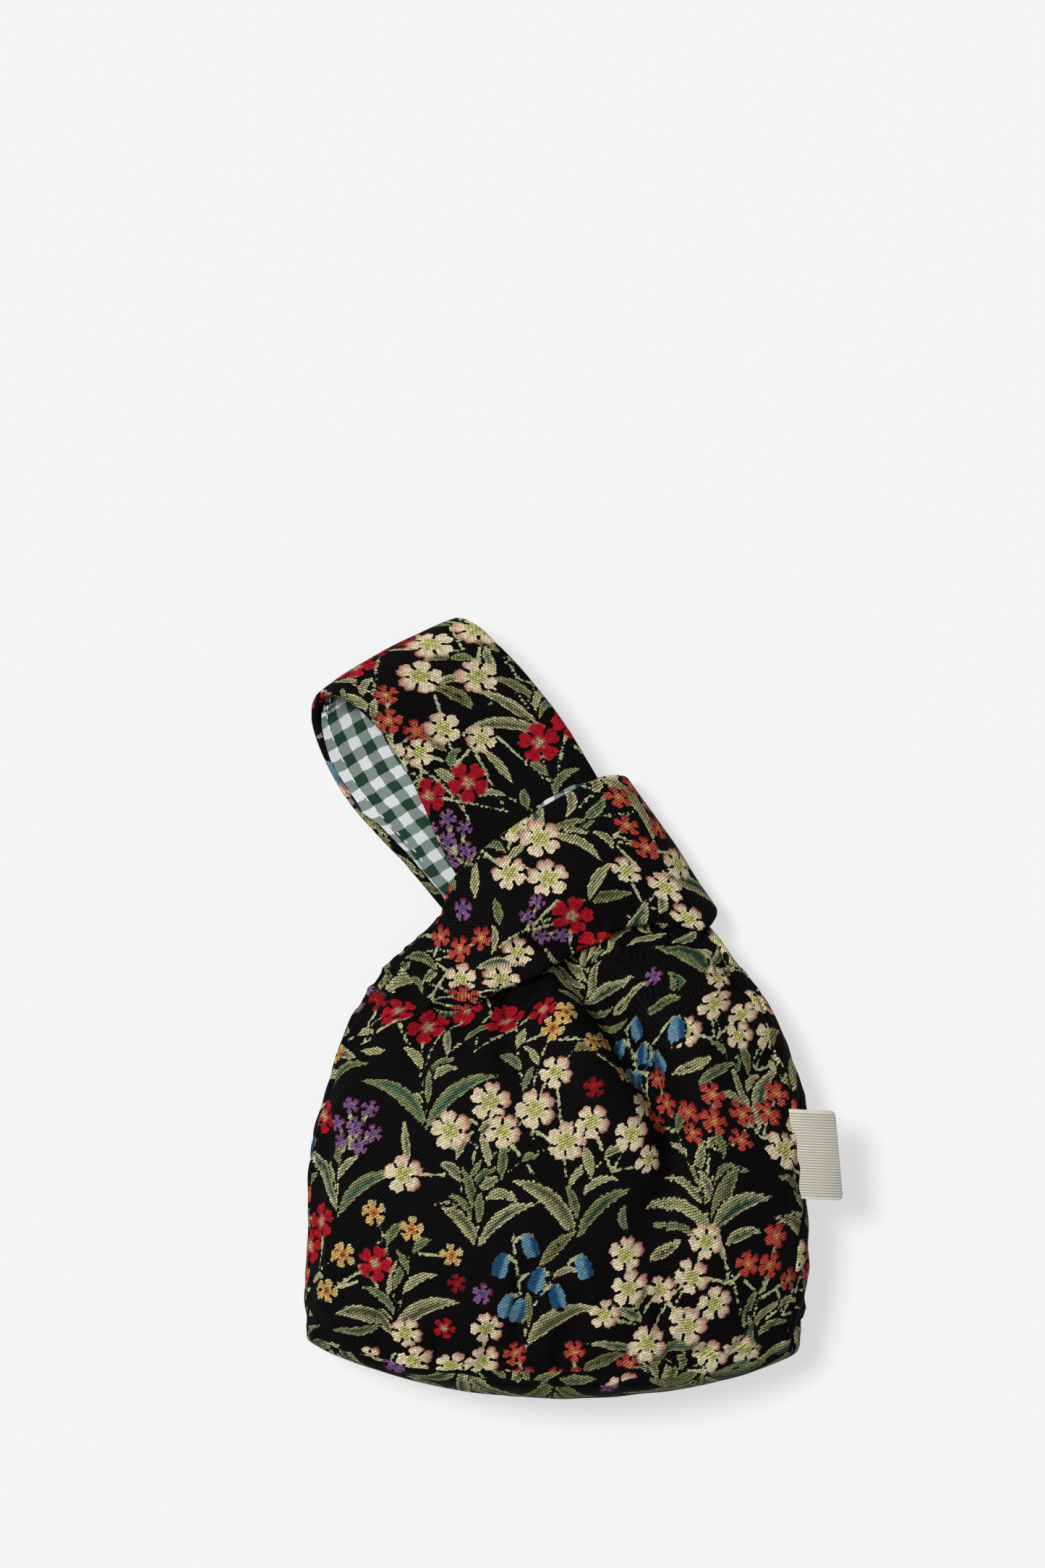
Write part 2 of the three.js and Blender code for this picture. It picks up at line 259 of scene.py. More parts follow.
def softened(grid):
    """Each place's mean with its four neighbours."""
    padded = np.pad(grid, ((1, 1), (1, 1), (0, 0)), "edge")
    return (padded[:-2, 1:-1] + padded[2:, 1:-1] + padded[1:-1, :-2] + padded[1:-1, 2:]) / 4


def lengths(points, axis):
    """Length along the grid's lines from their first point."""
    steps = np.linalg.norm(np.diff(points, axis=axis), axis=-1)
    total = np.cumsum(steps, axis=axis)
    pad = [(0, 0), (0, 0)]
    pad[axis] = (1, 0)
    return np.pad(total, pad)


def cloth_places(points):
    """Where each point lies in its flat cloth, measured from the middle."""
    across = lengths(points, 0)
    along = lengths(points, 1)
    column, row = ((count - 1) // 2 for count in points.shape[:2])
    return np.stack([across - across[column : column + 1], along - along[:, row : row + 1]], -1)


def rolled(points, axis, at_end, radius, steps):
    """The grid with one edge rolled under, round an edge of that radius, and tucked in a little."""
    normals = grid_normals(points)
    if axis == 1:
        points, normals = points.swapaxes(0, 1), normals.swapaxes(0, 1)
    if at_end:
        points, normals = points[::-1], normals[::-1]
    edge = points[0]
    normal = normals[0]
    outward = edge - points[2]
    outward = unit(outward - normal * (outward * normal).sum(-1, keepdims=True))
    rows = []
    for angle in np.linspace(0, math.pi, steps + 1)[1:]:
        rows.append(edge + outward * radius * math.sin(angle) - normal * radius * (1 - math.cos(angle)))
    rows.append(rows[-1] - outward * edge_tuck)
    grown = np.concatenate([np.array(rows[::-1]), points])
    if at_end:
        grown = grown[::-1]
    return grown.swapaxes(0, 1) if axis == 1 else grown


long_edges = [(1, False), (1, True)]
all_edges = [(0, False), (0, True)] + long_edges


def rolled_edges(points, edges, radius, steps=4):
    """The grid with each of those edges rolled under, and nothing of it below the floor."""
    for axis, at_end in edges:
        points = rolled(points, axis, at_end, radius, steps)
    points[..., 2] = np.maximum(points[..., 2], lowest_outer)
    return points


def facing(points, place, axis):
    """1 where the grid's normal at a place points up that axis, and -1 where it points down."""
    return 1 if grid_normals(points)[place][axis] > 0 else -1


trial_count = 500


def even_shares(place, rows, count):
    """For each row, shares across it that step evenly along the surface."""
    trial = np.linspace(0, 1, trial_count)
    dense = place(trial[:, None], rows[None, :])
    run = lengths(dense, 0)
    wanted = np.linspace(0, 1, count)
    columns = [np.interp(wanted * run[-1, j], run[:, j], trial) for j in range(len(rows))]
    return np.stack(columns, 1)


# Meshes

def new_object(name, data):
    item = bpy.data.objects.new(name, data)
    bpy.context.scene.collection.objects.link(item)
    return item


def mesh_object(name, points, faces):
    """An object made of points in millimetres."""
    mesh = bpy.data.meshes.new(name)
    mesh.from_pydata((np.reshape(points, (-1, 3)) * metres_per_mm).tolist(), [], faces)
    return new_object(name, mesh)


def grid_faces(points):
    index = np.arange(points.shape[0] * points.shape[1]).reshape(points.shape[:2])
    return np.stack([index[:-1, :-1], index[1:, :-1], index[1:, 1:], index[:-1, 1:]], -1).reshape(-1, 4)


def make_grid(name, points, outward=1, card=None, up_first=False):
    """A mesh of squares with its cloth places in millimetres, its own bake map, and the yarns of a card."""
    count_a, count_b = points.shape[:2]
    faces = grid_faces(points)
    if outward < 0:
        faces = faces[:, ::-1]
    piece = mesh_object(name, points, faces.tolist())
    mesh = piece.data
    places = cloth_places(points)
    cells = np.stack(np.meshgrid(np.arange(count_a), np.arange(count_b), indexing="ij"), -1)
    bake = cells / [count_a - 1, count_b - 1]
    corners = faces.reshape(-1)
    for title, values in {"Cloth": places, "OFBake": bake}.items():
        layer = mesh.uv_layers.new(name=title)
        layer.data.foreach_set("uv", values.reshape(-1, 2)[corners].astype(np.float32).ravel())
    if card:
        colours = woven_colours(card, places, up_first)
        yarn = mesh.attributes.new("Yarn", "FLOAT_COLOR", "POINT")
        yarn.data.foreach_set("color", colours[..., :4].astype(np.float32).ravel())
        warp = mesh.attributes.new("Warp", "FLOAT", "POINT")
        warp.data.foreach_set("value", colours[..., 4].astype(np.float32).ravel())
    mesh.shade_smooth()
    return piece


def mesh_tree(points):
    """A search tree of a grid, in millimetres."""
    return BVHTree.FromPolygons(points.reshape(-1, 3).tolist(), grid_faces(points).tolist())


# Woven design of the outer cloth

card_step = 0.4
motif_outline = 0.8

# Each yarn's colour, and how strongly the dark warp shows through its floats
yarns = {
    "ground": ((6, 5, 6), 0),
    "cream": ((232, 216, 180), 0.6),
    "blush": ((214, 164, 140), 0.6),
    "plum": ((74, 16, 24), 0.5),
    "lime": ((192, 194, 92), 0.95),
    "straw": ((200, 194, 146), 0.97),
    "stem": ((186, 190, 146), 0.5),
    "leaf": ((154, 156, 106), 1.0),
    "moss": ((96, 100, 62), 1.0),
    "pine": ((44, 78, 58), 1.0),
    "sea": ((62, 104, 84), 1.0),
    "blue": ((34, 80, 118), 0.7),
    "sky": ((104, 150, 172), 0.75),
    "red": ((176, 22, 38), 0.55),
    "wine": ((118, 14, 26), 0.5),
    "coral": ((176, 42, 36), 0.85),
    "amber": ((214, 100, 80), 0.85),
    "gold": ((218, 186, 100), 0.7),
    "violet": ((122, 62, 124), 0.8),
    "lilac": ((164, 116, 158), 0.8),
}
yarn_names = list(yarns)

# How two yarns alternate: not at all, in a chequer, or in single flecks of the second
solid, chequer, fleck = range(3)
thread_squares = 3
fleck_repeat = 5


class Card:
    """A woven design: for each small square of cloth, a yarn, a second yarn, and how the two alternate."""

    def __init__(self, width, height):
        self.width = width
        self.height = height
        shape = (round(width / card_step), round(height / card_step))
        self.yarn = np.zeros(shape, np.uint8)
        self.second = np.zeros(shape, np.uint8)
        self.mode = np.zeros(shape, np.uint8)
        self.flowers = np.zeros(shape, bool)

    def window(self, x, y, reach_x, reach_y=None):
        """The squares within reach of a place, and how far each is from it in both directions."""
        spans = []
        for centre, reach, count in zip((x, y), (reach_x, reach_y or reach_x), self.yarn.shape):
            low = min(max(int((centre - reach) / card_step), 0), count)
            high = min(int((centre + reach) / card_step) + 1, count)
            spans.append(slice(low, max(high, low)))
        away = [(np.arange(s.start, s.stop) + 0.5) * card_step - c for s, c in zip(spans, (x, y))]
        return tuple(spans), away[0][:, None], away[1][None, :]

    def paint(self, window, mask, yarn, second="ground", mode=solid):
        self.yarn[window][mask] = yarn_names.index(yarn)
        self.second[window][mask] = yarn_names.index(second)
        self.mode[window][mask] = mode

    def woven(self):
        """Colour, how much warp shows, and how much motifs cover, each blurred by about one thread."""
        i, j = np.meshgrid(*(np.arange(n) // thread_squares for n in self.yarn.shape), indexing="ij")
        swap = (self.mode == chequer) & ((i + j) % 2 == 0)
        swap |= (self.mode == fleck) & ((i + 2 * j) % fleck_repeat == 0)
        values = yarn_colours[np.where(swap, self.second, self.yarn)]
        covered = (self.yarn > 0)[..., None].astype(float)
        values = np.concatenate([values * covered, covered], -1)
        for axis in (0, 1):
            values = (np.roll(values, 1, axis) + 2 * values + np.roll(values, -1, axis)) / 4
        return values


def share_of(values, mask):
    """The share of a mask's squares that are true in the values, or none where the mask is empty."""
    return values[mask].sum() / max(mask.sum(), 1)


# A flower's rim, petal, the petal's second yarn and weave, its heart's two yarns, and the heart's size
flower_looks = {
    "cream": ("blush", "cream", "cream", solid, "lime", "cream", 0.3),
    "red": ("red", "red", "wine", fleck, "straw", "red", 0.12),
    "coral": ("wine", "coral", "amber", chequer, "gold", "wine", 0.1),
    "violet": ("plum", "violet", "lilac", chequer, "blue", "lilac", 0.2),
    "gold": ("straw", "gold", "amber", fleck, "coral", "plum", 0.16),
    "plum": ("plum", "wine", "red", fleck, "coral", "plum", 0.14),
}
leaf_looks = [
    ("straw", "moss"), ("leaf", "moss"), ("leaf", "sea"),
    ("straw", "pine"), ("leaf", "pine"), ("straw", "leaf"),
]

# A flower's form, as shares of its radius: where petals part, their roundness, notch, rim, furrow and heart
petal_root, petal_roundness = 0.42, 0.36
notch_depth, notch_start = 0.1, 0.93
rim_depth, rim_swing = 0.1, 0.12
furrow_start = 0.4
heart_points = 0.2
most_covered_flower = 0.12

# A flower's deepest rim and its shade, as directions in radians, the shade's limit as a cosine, and two widths
rim_turn, shade_turn, shade_limit = 0.6, 0.2, 0.4
shade_reach, furrow_width = 0.7, 1.5

# A leaf's form: the ends of its blade as shares of its length, and its bare edges and vein in millimetres
leaf_tips = (0.03, 0.985)
leaf_roundness = 0.8
near_margin, far_margin = 1.1, 0.9
vein_width, vein_end, least_veined = 0.4, 0.85, 5
most_covered_leaf = 0.3

# A stem's width, its outline and the steps of its ticks in millimetres, and the limit of a tick as a cosine
stem_width, stem_margin, stem_tick, tick_threshold = 1.2, 0.4, 2.6, 0.5

# A bell's form, as shares of its length, and the outline past its ends in millimetres
bell_belly, bell_flare, bell_reach = 0.25, 0.05, 0.8
bell_shade, bell_crown, bell_mouth = 0.06, 0.1, 0.88
bell_margin = 0.6


def draw_flower(card, x, y, radius, petals, spin, kind):
    """A round flower. It is left out where it would cover too much of other flowers."""
    rim, petal, petal_second, weave, heart, heart_second, heart_share = flower_looks[kind]
    window, dx, dy = card.window(x, y, radius + 2 * motif_outline)
    if not card.yarn[window].size:
        return
    reach = np.hypot(dx, dy)
    turn = np.arctan2(dy, dx)
    lobe = np.abs(np.cos(turn * petals / 2 + spin))
    notch = notch_depth * smoothstep(lobe, notch_start, 1)
    edge = radius * (petal_root + (1 - petal_root) * lobe**petal_roundness - notch)
    inside = reach < edge
    if share_of(card.flowers[window], inside) > most_covered_flower:
        return
    card.paint(window, reach < edge + motif_outline, "ground")
    if kind == "cream":
        card.paint(window, (reach < edge + shade_reach) & (np.cos(turn - shade_turn) > shade_limit), "plum")
    card.paint(window, inside, petal, petal_second, weave)
    rim_width = radius * (rim_depth + rim_swing * np.cos(turn - rim_turn))
    card.paint(window, inside & (reach > edge - rim_width), rim)
    card.paint(window, inside & (reach > furrow_start * radius) & (lobe * reach < furrow_width), "ground")
    heart_reach = radius * (heart_share + heart_points * lobe**3)
    card.paint(window, reach < heart_reach, heart, heart_second, fleck)
    card.flowers[window] |= inside


leaf_points, stem_points, plant_points = 20, 32, 12


def bezier(start, bend, end, count):
    t = np.linspace(0, 1, count)[:, None]
    start, bend, end = (np.array(p, float) for p in (start, bend, end))
    return (1 - t) ** 2 * start + 2 * t * (1 - t) * bend + t**2 * end


def near_path(card, path, reach):
    """The card's window round a path, and each square's distance, share along the path, and side."""
    centre = (path.min(0) + path.max(0)) / 2
    window, dx, dy = card.window(*centre, *((path.max(0) - path.min(0)) / 2 + reach))
    away = np.stack(np.broadcast_arrays(dx, dy), -1)[..., None, :] - (path - centre)
    gap = np.hypot(away[..., 0], away[..., 1])
    nearest = gap.argmin(-1)
    away = np.take_along_axis(away, nearest[..., None, None], -2)[..., 0, :]
    tangent = unit(np.gradient(path, axis=0))[nearest]
    side = tangent[..., 0] * away[..., 1] - tangent[..., 1] * away[..., 0]
    return window, np.hypot(away[..., 0], away[..., 1]), nearest / (len(path) - 1), side


def draw_leaf(card, start, bend, end, width, look, crowd):
    """A pointed leaf. It is left out where more than a share crowd of it would cover other motifs."""
    near, far = look
    window, distance, share, side = near_path(card, bezier(start, bend, end, leaf_points), width)
    if not card.yarn[window].size:
        return
    half = width / 2 * np.sin(math.pi * np.clip(share, *leaf_tips) ** leaf_roundness) ** leaf_roundness
    inside = distance < half
    covered = share_of(card.flowers[window], inside)
    if share_of(card.yarn[window] > 0, inside) > crowd or covered > most_covered_leaf:
        return
    free = ~card.flowers[window]
    blade = inside & free
    card.paint(window, (distance < half + motif_outline) & free, "ground")
    card.paint(window, blade, near)
    card.paint(window, blade & (distance < half - near_margin) & (side > 0), near, far, chequer)
    card.paint(window, blade & (distance < half - far_margin) & (side < 0), far)
    if width > least_veined:
        card.paint(window, blade & (distance < vein_width) & (share < vein_end), "ground")


def draw_stem(card, start, bend, end):
    """A thin line with a tick on one side at every few threads."""
    window, distance, share, side = near_path(card, bezier(start, bend, end, stem_points), 2 * stem_width)
    if not card.yarn[window].size:
        return
    free = ~card.flowers[window]
    length = math.dist(start, end)
    ticks = (np.cos(2 * math.pi * (share * length + side) / stem_tick) > tick_threshold) & (side > 0)
    card.paint(window, (distance < stem_width / 2 + stem_margin) & free, "ground")
    card.paint(window, (distance < stem_width) & ticks & free, "leaf")
    card.paint(window, (distance < stem_width / 2) & free, "stem")


def draw_bell(card, x, y, angle, length, look):
    """A bell at an angle, with its second yarn on one side and a dark mouth."""
    outer, inner = look
    window, dx, dy = card.window(x, y, length * bell_reach)
    if not card.yarn[window].size:
        return
    along = dx * math.cos(angle) + dy * math.sin(angle)
    across = dy * math.cos(angle) - dx * math.sin(angle)
    t = np.clip(along / length + 0.5, 0, 1)
    half = length * (bell_belly * np.sin(math.pi * t) ** 0.5 + bell_flare * t)
    inside = (np.abs(across) < half) & (np.abs(along) < length / 2)
    outline = (np.abs(across) < half + motif_outline) & (np.abs(along) < length / 2 + bell_margin)
    card.paint(window, outline, "ground")
    card.paint(window, inside, outer)
    card.paint(window, inside & (across > bell_shade * length) & (t > bell_crown), inner)
    card.paint(window, inside & (t > bell_mouth), "ground")
    card.flowers[window] |= inside


def toward(point, angle, distance):
    return point[0] + distance * math.sin(angle), point[1] + distance * math.cos(angle)


# What each kind of plant bears: flower, petals, radius, flowers on a stem, how many stems, height
plant_kinds = {
    "daisies": ("cream", 5, 8.8, 2, 4, 60),
    "may": ("cream", 5, 7.8, 4, 2, 56),
    "pinks": ("red", 5, 9.2, 3, 2, 56),
    "corals": ("coral", 5, 6.2, 4, 3, 58),
    "stars": ("gold", 5, 5.8, 2, 3, 54),
    "grapes": ("violet", 5, 4.6, 7, 1, 48),
    "embers": ("plum", 5, 5.6, 3, 2, 48),
    "bells": (None, 0, 0, 0, 2, 48),
    "fern": (None, 0, 0, 0, 0, 34),
}
plant_order = [
    "daisies", "corals", "pinks", "may", "fern", "stars",
    "corals", "pinks", "bells", "daisies", "grapes", "may", "embers",
]
order_step = 3

# How a plant grows, in millimetres, radians and shares of a stem. A pair is the range of a random draw.
stem_fan, plant_turn, stem_reach = 0.62, (-0.25, 0.25), (0.72, 1.08)
stem_bend_turn, stem_bend_share = 0.2, 0.55
petal_spin = (0, 3)
bunch_jitter, bunch_gap, bunch_size = (-0.15, 0.15), (1.85, 2.1), (0.82, 1.0)
pair_gap, pair_turns, fork_share, least_round = 3.1, [-2.1, 2.1], 2.2, 3
bell_length, bell_lean = 12.5, 0.3
bell_side, bell_drop, bell_hook, first_bell, bell_stride = 6.8, 1.5, (4, 5), 4, 2
leaves_on_stem, first_leaf, leaf_stride = 4, 2, 2
stem_leaf_reach, stem_leaf_fade = (12, 24), 0.12
stem_leaf_turn, stem_leaf_width = (0.5, 0.9), (3.0, 4.8)
fern_leaves, other_leaves = 9, (2, 5)
fern_spread, other_spread, foot_leaf_jitter = 2.0, 1.5, (-0.15, 0.15)
foot_leaf_reach, foot_leaf_width = (24, 40), (4.6, 7.8)
leaf_curl, leaf_bend_turn, leaf_bend_share = 1.12, 0.5, 0.62


class Plant:
    """A foot with stems that fan upward. The flowers, stems and leaves of all plants are drawn in turn."""

    def __init__(self, rng, foot, kind):
        flower, petals, radius, bunch, stems, height = plant_kinds[kind]
        self.flowers, self.stems, self.leaves, self.bells = [], [], [], []
        turn = rng.uniform(*plant_turn)
        for k in range(stems):
            angle = turn + (mix(-stem_fan, stem_fan, (k + 0.5) / stems) if stems > 1 else 0)
            reach = height * rng.uniform(*stem_reach)
            end = toward(foot, angle, reach)
            bend = toward(foot, angle * stem_bend_turn - turn, reach * stem_bend_share)
            self.stems.append((foot, bend, end))
            path = bezier(foot, bend, end, plant_points)
            if flower:
                self.add_bunch(rng, end, angle, flower, petals, radius, bunch)
            else:
                self.add_bells(path)
            self.add_stem_leaves(rng, path, angle)
        fern = kind == "fern"
        count = fern_leaves if fern else int(rng.integers(*other_leaves))
        spread = fern_spread if fern else other_spread
        for k in range(count):
            angle = mix(-spread, spread, (k + 0.5) / count) + rng.uniform(*foot_leaf_jitter)
            self.add_leaf(rng, foot, angle, rng.uniform(*foot_leaf_reach), rng.uniform(*foot_leaf_width))

    def add_bunch(self, rng, end, angle, flower, petals, radius, bunch):
        """One flower at the stem's end, and the others round it, or beside it where there are only two."""
        self.flowers.append((*end, radius, petals, rng.uniform(*petal_spin), flower))
        for n in range(1, bunch):
            around = angle + (n - bunch / 2) * 2 * math.pi / max(bunch - 1, least_round)
            around = around + rng.uniform(*bunch_jitter)
            if bunch > 2:
                gap = radius * rng.uniform(*bunch_gap)
            else:
                gap = radius * pair_gap
                around = angle + rng.choice(pair_turns)
            place = toward(end, around, gap)
            size = radius * rng.uniform(*bunch_size)
            self.flowers.append((*place, size, petals, rng.uniform(*petal_spin), flower))
            self.stems.append((toward(end, angle, -radius * fork_share), place, place))

    def add_bells(self, path):
        """Bells that hang from hooks on both sides of a stem, with the colours of every third one swapped."""
        hook_reach, hook_rise = bell_hook
        for n, (x, y) in enumerate(path[first_bell::bell_stride]):
            side = 1 if n % 2 else -1
            place = (x + side * bell_side, y - bell_drop)
            look = ("blue", "sky") if n % 3 else ("sky", "blue")
            self.bells.append((*place, -math.pi / 2 + side * bell_lean, bell_length, look))
            hook = (x + side * hook_reach, y + hook_rise)
            self.stems.append(((x, y), hook, (place[0], place[1] + hook_rise)))

    def add_stem_leaves(self, rng, path, angle):
        for n in range(leaves_on_stem):
            side = 1 if n % 2 else -1
            reach = rng.uniform(*stem_leaf_reach) * (1 - stem_leaf_fade * n)
            turn = angle + side * rng.uniform(*stem_leaf_turn)
            start = tuple(path[first_leaf + leaf_stride * n])
            self.add_leaf(rng, start, turn, reach, rng.uniform(*stem_leaf_width))

    def add_leaf(self, rng, start, angle, reach, width):
        end = toward(start, angle * leaf_curl, reach)
        bend = toward(start, angle * leaf_bend_turn, reach * leaf_bend_share)
        self.leaves.append((start, bend, end, width, leaf_looks[int(rng.integers(len(leaf_looks)))]))


# What fills a gap: a blossom or a leaf, in turn, each where this much room round it is almost bare
gap_kinds = ["coral", "gold", "red", "violet", "cream", "plum"]
blossom_room, leaf_room, most_busy = 6.6, 5, 0.01
blossom_radius, blossom_petals = (4.0, 5.4), 5
gap_leaf_turn, gap_leaf_reach, gap_leaf_width = (-2.2, 2.2), (12, 24), (3.6, 6.4)
gap_leaf_curl, gap_leaf_sway, gap_leaf_bend_turn, gap_leaf_crowd = (-0.5, 0.5), (-4, 4), 1.5, 0.12
plant_leaf_crowd = 0.5
area_per_try = 12


def fill_gaps(card, rng, tries):
    """Small leaves and blossoms on the bare ground between the plants."""
    for k in range(tries):
        place = (rng.uniform(0, card.width), rng.uniform(0, card.height))
        blossom = k % 2 == 0
        window, _, _ = card.window(*place, blossom_room if blossom else leaf_room)
        if (card.yarn[window] > 0).mean() > most_busy:
            continue
        if blossom:
            kind = gap_kinds[int(rng.integers(len(gap_kinds)))]
            radius = rng.uniform(*blossom_radius)
            draw_flower(card, *place, radius, blossom_petals, rng.uniform(*petal_spin), kind)
        else:
            angle = rng.uniform(*gap_leaf_turn)
            reach = rng.uniform(*gap_leaf_reach)
            look = leaf_looks[int(rng.integers(len(leaf_looks)))]
            start = toward(place, angle, -reach / 2)
            end = toward(place, angle + rng.uniform(*gap_leaf_curl), reach / 2)
            bend = toward(place, angle + gap_leaf_bend_turn, rng.uniform(*gap_leaf_sway))
            draw_leaf(card, start, bend, end, rng.uniform(*gap_leaf_width), look, gap_leaf_crowd)


# Plants stand in staggered rows, from a little before the card's corner, and each is moved by a random step.
panel_spacing, strap_spacing = (52, 53), (46, 46)
row_start, column_start, stagger = -0.9, -0.25, 0.5
plant_shift_x, plant_shift_y = (-9, 9), (-10, 10)


def woven_card(width, height, seed, spacing=panel_spacing):
    card = Card(width, height)
    rng = np.random.default_rng(seed)
    plants = []
    step = int(rng.integers(len(plant_order)))
    for row in range(int(height / spacing[1]) + 2):
        for column in range(int(width / spacing[0]) + 2):
            x = (column + column_start + stagger * (row % 2)) * spacing[0] + rng.uniform(*plant_shift_x)
            y = (row + row_start) * spacing[1] + rng.uniform(*plant_shift_y)
            plants.append(Plant(rng, (x, y), plant_order[step % len(plant_order)]))
            step += order_step
    plants = [plants[k] for k in rng.permutation(len(plants))]
    for plant in plants:
        for flower in plant.flowers:
            draw_flower(card, *flower)
        for bell in plant.bells:
            draw_bell(card, *bell)
    for plant in plants:
        for stem in plant.stems:
            draw_stem(card, *stem)
    for plant in plants:
        for leaf in plant.leaves:
            draw_leaf(card, *leaf, plant_leaf_crowd)
    fill_gaps(card, rng, int(width * height / area_per_try))
    return card


def to_linear(colour):
    """Linear light from a screen colour whose parts run from 0 to 255."""
    value = np.array(colour, float) / 255
    return np.where(value <= 0.04045, value / 12.92, ((value + 0.055) / 1.055) ** 2.4)


yarn_colours = np.array([[*to_linear(colour), gap] for colour, gap in yarns.values()])


least_cover = 1e-4


def woven_colours(card, places, up_first):
    """The yarn at each place of a cloth, whose middle is the card's: colour, cover, and warp that shows."""
    values = card.woven()
    middle = np.array([card.width, card.height]) / 2
    squares = (places[..., ::-1] if up_first else places) + middle
    squares = squares / card_step - 0.5
    low = np.floor(squares).astype(int)
    share = squares - low
    total = 0
    for step_x, weight_x in enumerate((1 - share[..., 0], share[..., 0])):
        for step_y, weight_y in enumerate((1 - share[..., 1], share[..., 1])):
            column = (low[..., 0] + step_x) % values.shape[0]
            row = (low[..., 1] + step_y) % values.shape[1]
            total = total + values[column, row] * (weight_x * weight_y)[..., None]
    cover = total[..., 4:]
    own = total[..., :4] / np.maximum(cover, least_cover)
    return np.concatenate([own[..., :3], cover, own[..., 3:]], -1)


# Materials

# Pitches and edges in millimetres. A noise has a scale, a detail and a roughness.
noise_span = (0.3, 0.7)
grain_pitch, grain_span = 0.95, (-0.9, -0.2)
float_pitch, binding_pitch, float_slant = 1.1, 1.3, math.radians(25)
fibre_noise, drift_noise, most_drift = (2.6, 2, 0.7), (0.35, 2, 0.6), 0.2
ragged, motif_span = 0.22, (0.46, 0.56)
groove_span, gap_span = (0.14, 0.86), (0.18, 0.9)
groove_share, gap_share, crossing_share = 0.6, 0.4, 1.4
fibre_shades, dash_shades, tapestry_roughness = (0.84, 1.14), (0.74, 1.14), (0.7, 0.92)
motif_rise, warp_fall = 0.6, 0.7
ground_tones = [(4, 3, 3), (22, 19, 18)]

check_width, check_wobble = 5.0, 0.35
wobble_noise, gingham_noise = (0.25, 2, 0.6), (3.2, 2, 0.7)
twill_density, weave_density = 2.2, 2
twill_span, gingham_roughness = (0.3, 1.7), (0.78, 0.95)
pale_tones = [(196, 200, 202), (224, 227, 228)]
half_tones = [(66, 88, 78), (150, 160, 154)]
deep_tones = [(16, 42, 30), (34, 66, 50)]

rib_pitch, selvedge, selvedge_blur = 1.16, 1.3, 0.3
ribbon_noise, cloud_noise, cloud_span = (2.4, 3, 0.7), (0.12, 2, 0.5), (0.35, 0.65)
rib_shades, ribbon_shades, ribbon_roughness = (0.2, 1), (0.85, 1), (0.55, 0.75)
ribbon_tones = [(204, 206, 198), (218, 210, 190)]
ribbon_shadow = (140, 134, 120)
thread_colour = (226, 228, 228)

# Heights of the bumps, in metres
fibre_bump, float_bump, gingham_bump, rib_bump = 0.00006, 0.00012, 0.00008, 0.00025


def linear_rgba(colour):
    return (*to_linear(colour), 1)


class Look:
    """A material as it is built. Most methods add a node and return what comes out of it."""

    def __init__(self, name):
        self.material = bpy.data.materials.new(name)
        self.material.use_nodes = True
        self.nodes = self.material.node_tree.nodes
        self.shader = self.nodes["Principled BSDF"]

    def put(self, socket, value):
        """Links another node's output to a socket, or sets a number or a colour on the socket itself."""
        if isinstance(value, bpy.types.NodeSocket):
            self.material.node_tree.links.new(value, socket)
        else:
            socket.default_value = value

    def surface(self, values):
        for title, value in values.items():
            self.put(self.shader.inputs[title], value)
        return self.material

    def node(self, kind, inputs=None, **settings):
        """A new node's outputs. Its inputs are given by name or number, and set or linked."""
        node = self.nodes.new("ShaderNode" + kind)
        for title, value in settings.items():
            setattr(node, title, value)
        for key, value in (inputs or {}).items():
            self.put(node.inputs[key], value)
        return node.outputs

    def op(self, operation, *values):
        return self.node("Math", dict(enumerate(values)), operation=operation)[0]

    def mix(self, share, first, second):
        return self.node("Mix", {0: share, 6: first, 7: second}, data_type="RGBA")[2]

    def tone(self, share, colours):
        """A colour between two that are given as screen colours from 0 to 255."""
        return self.mix(share, *(linear_rgba(colour) for colour in colours))

    def noise(self, vector, scale, detail, roughness):
        inputs = {"Vector": vector, "Scale": scale, "Detail": detail, "Roughness": roughness}
        return self.node("TexNoise", inputs)["Fac"]

    def ranged(self, value, span, new_span=(0, 1)):
        return self.node("MapRange", dict(enumerate((value, *span, *new_span))))[0]

    def wave(self, value):
        """1 at the middle of each unit step of value and 0 at its ends."""
        return self.op("ABSOLUTE", self.op("SINE", self.op("MULTIPLY", value, math.pi)))

    def bump(self, height, distance, inputs=None):
        return self.node("Bump", {"Height": height, "Distance": distance, **(inputs or {})})[0]

    def cloth(self):
        """Places in the flat cloth in millimetres: across, along, and both as one vector."""
        places = self.node("UVMap", uv_map="Cloth")[0]
        split = self.node("SeparateXYZ", {0: places})
        return split[0], split[1], places


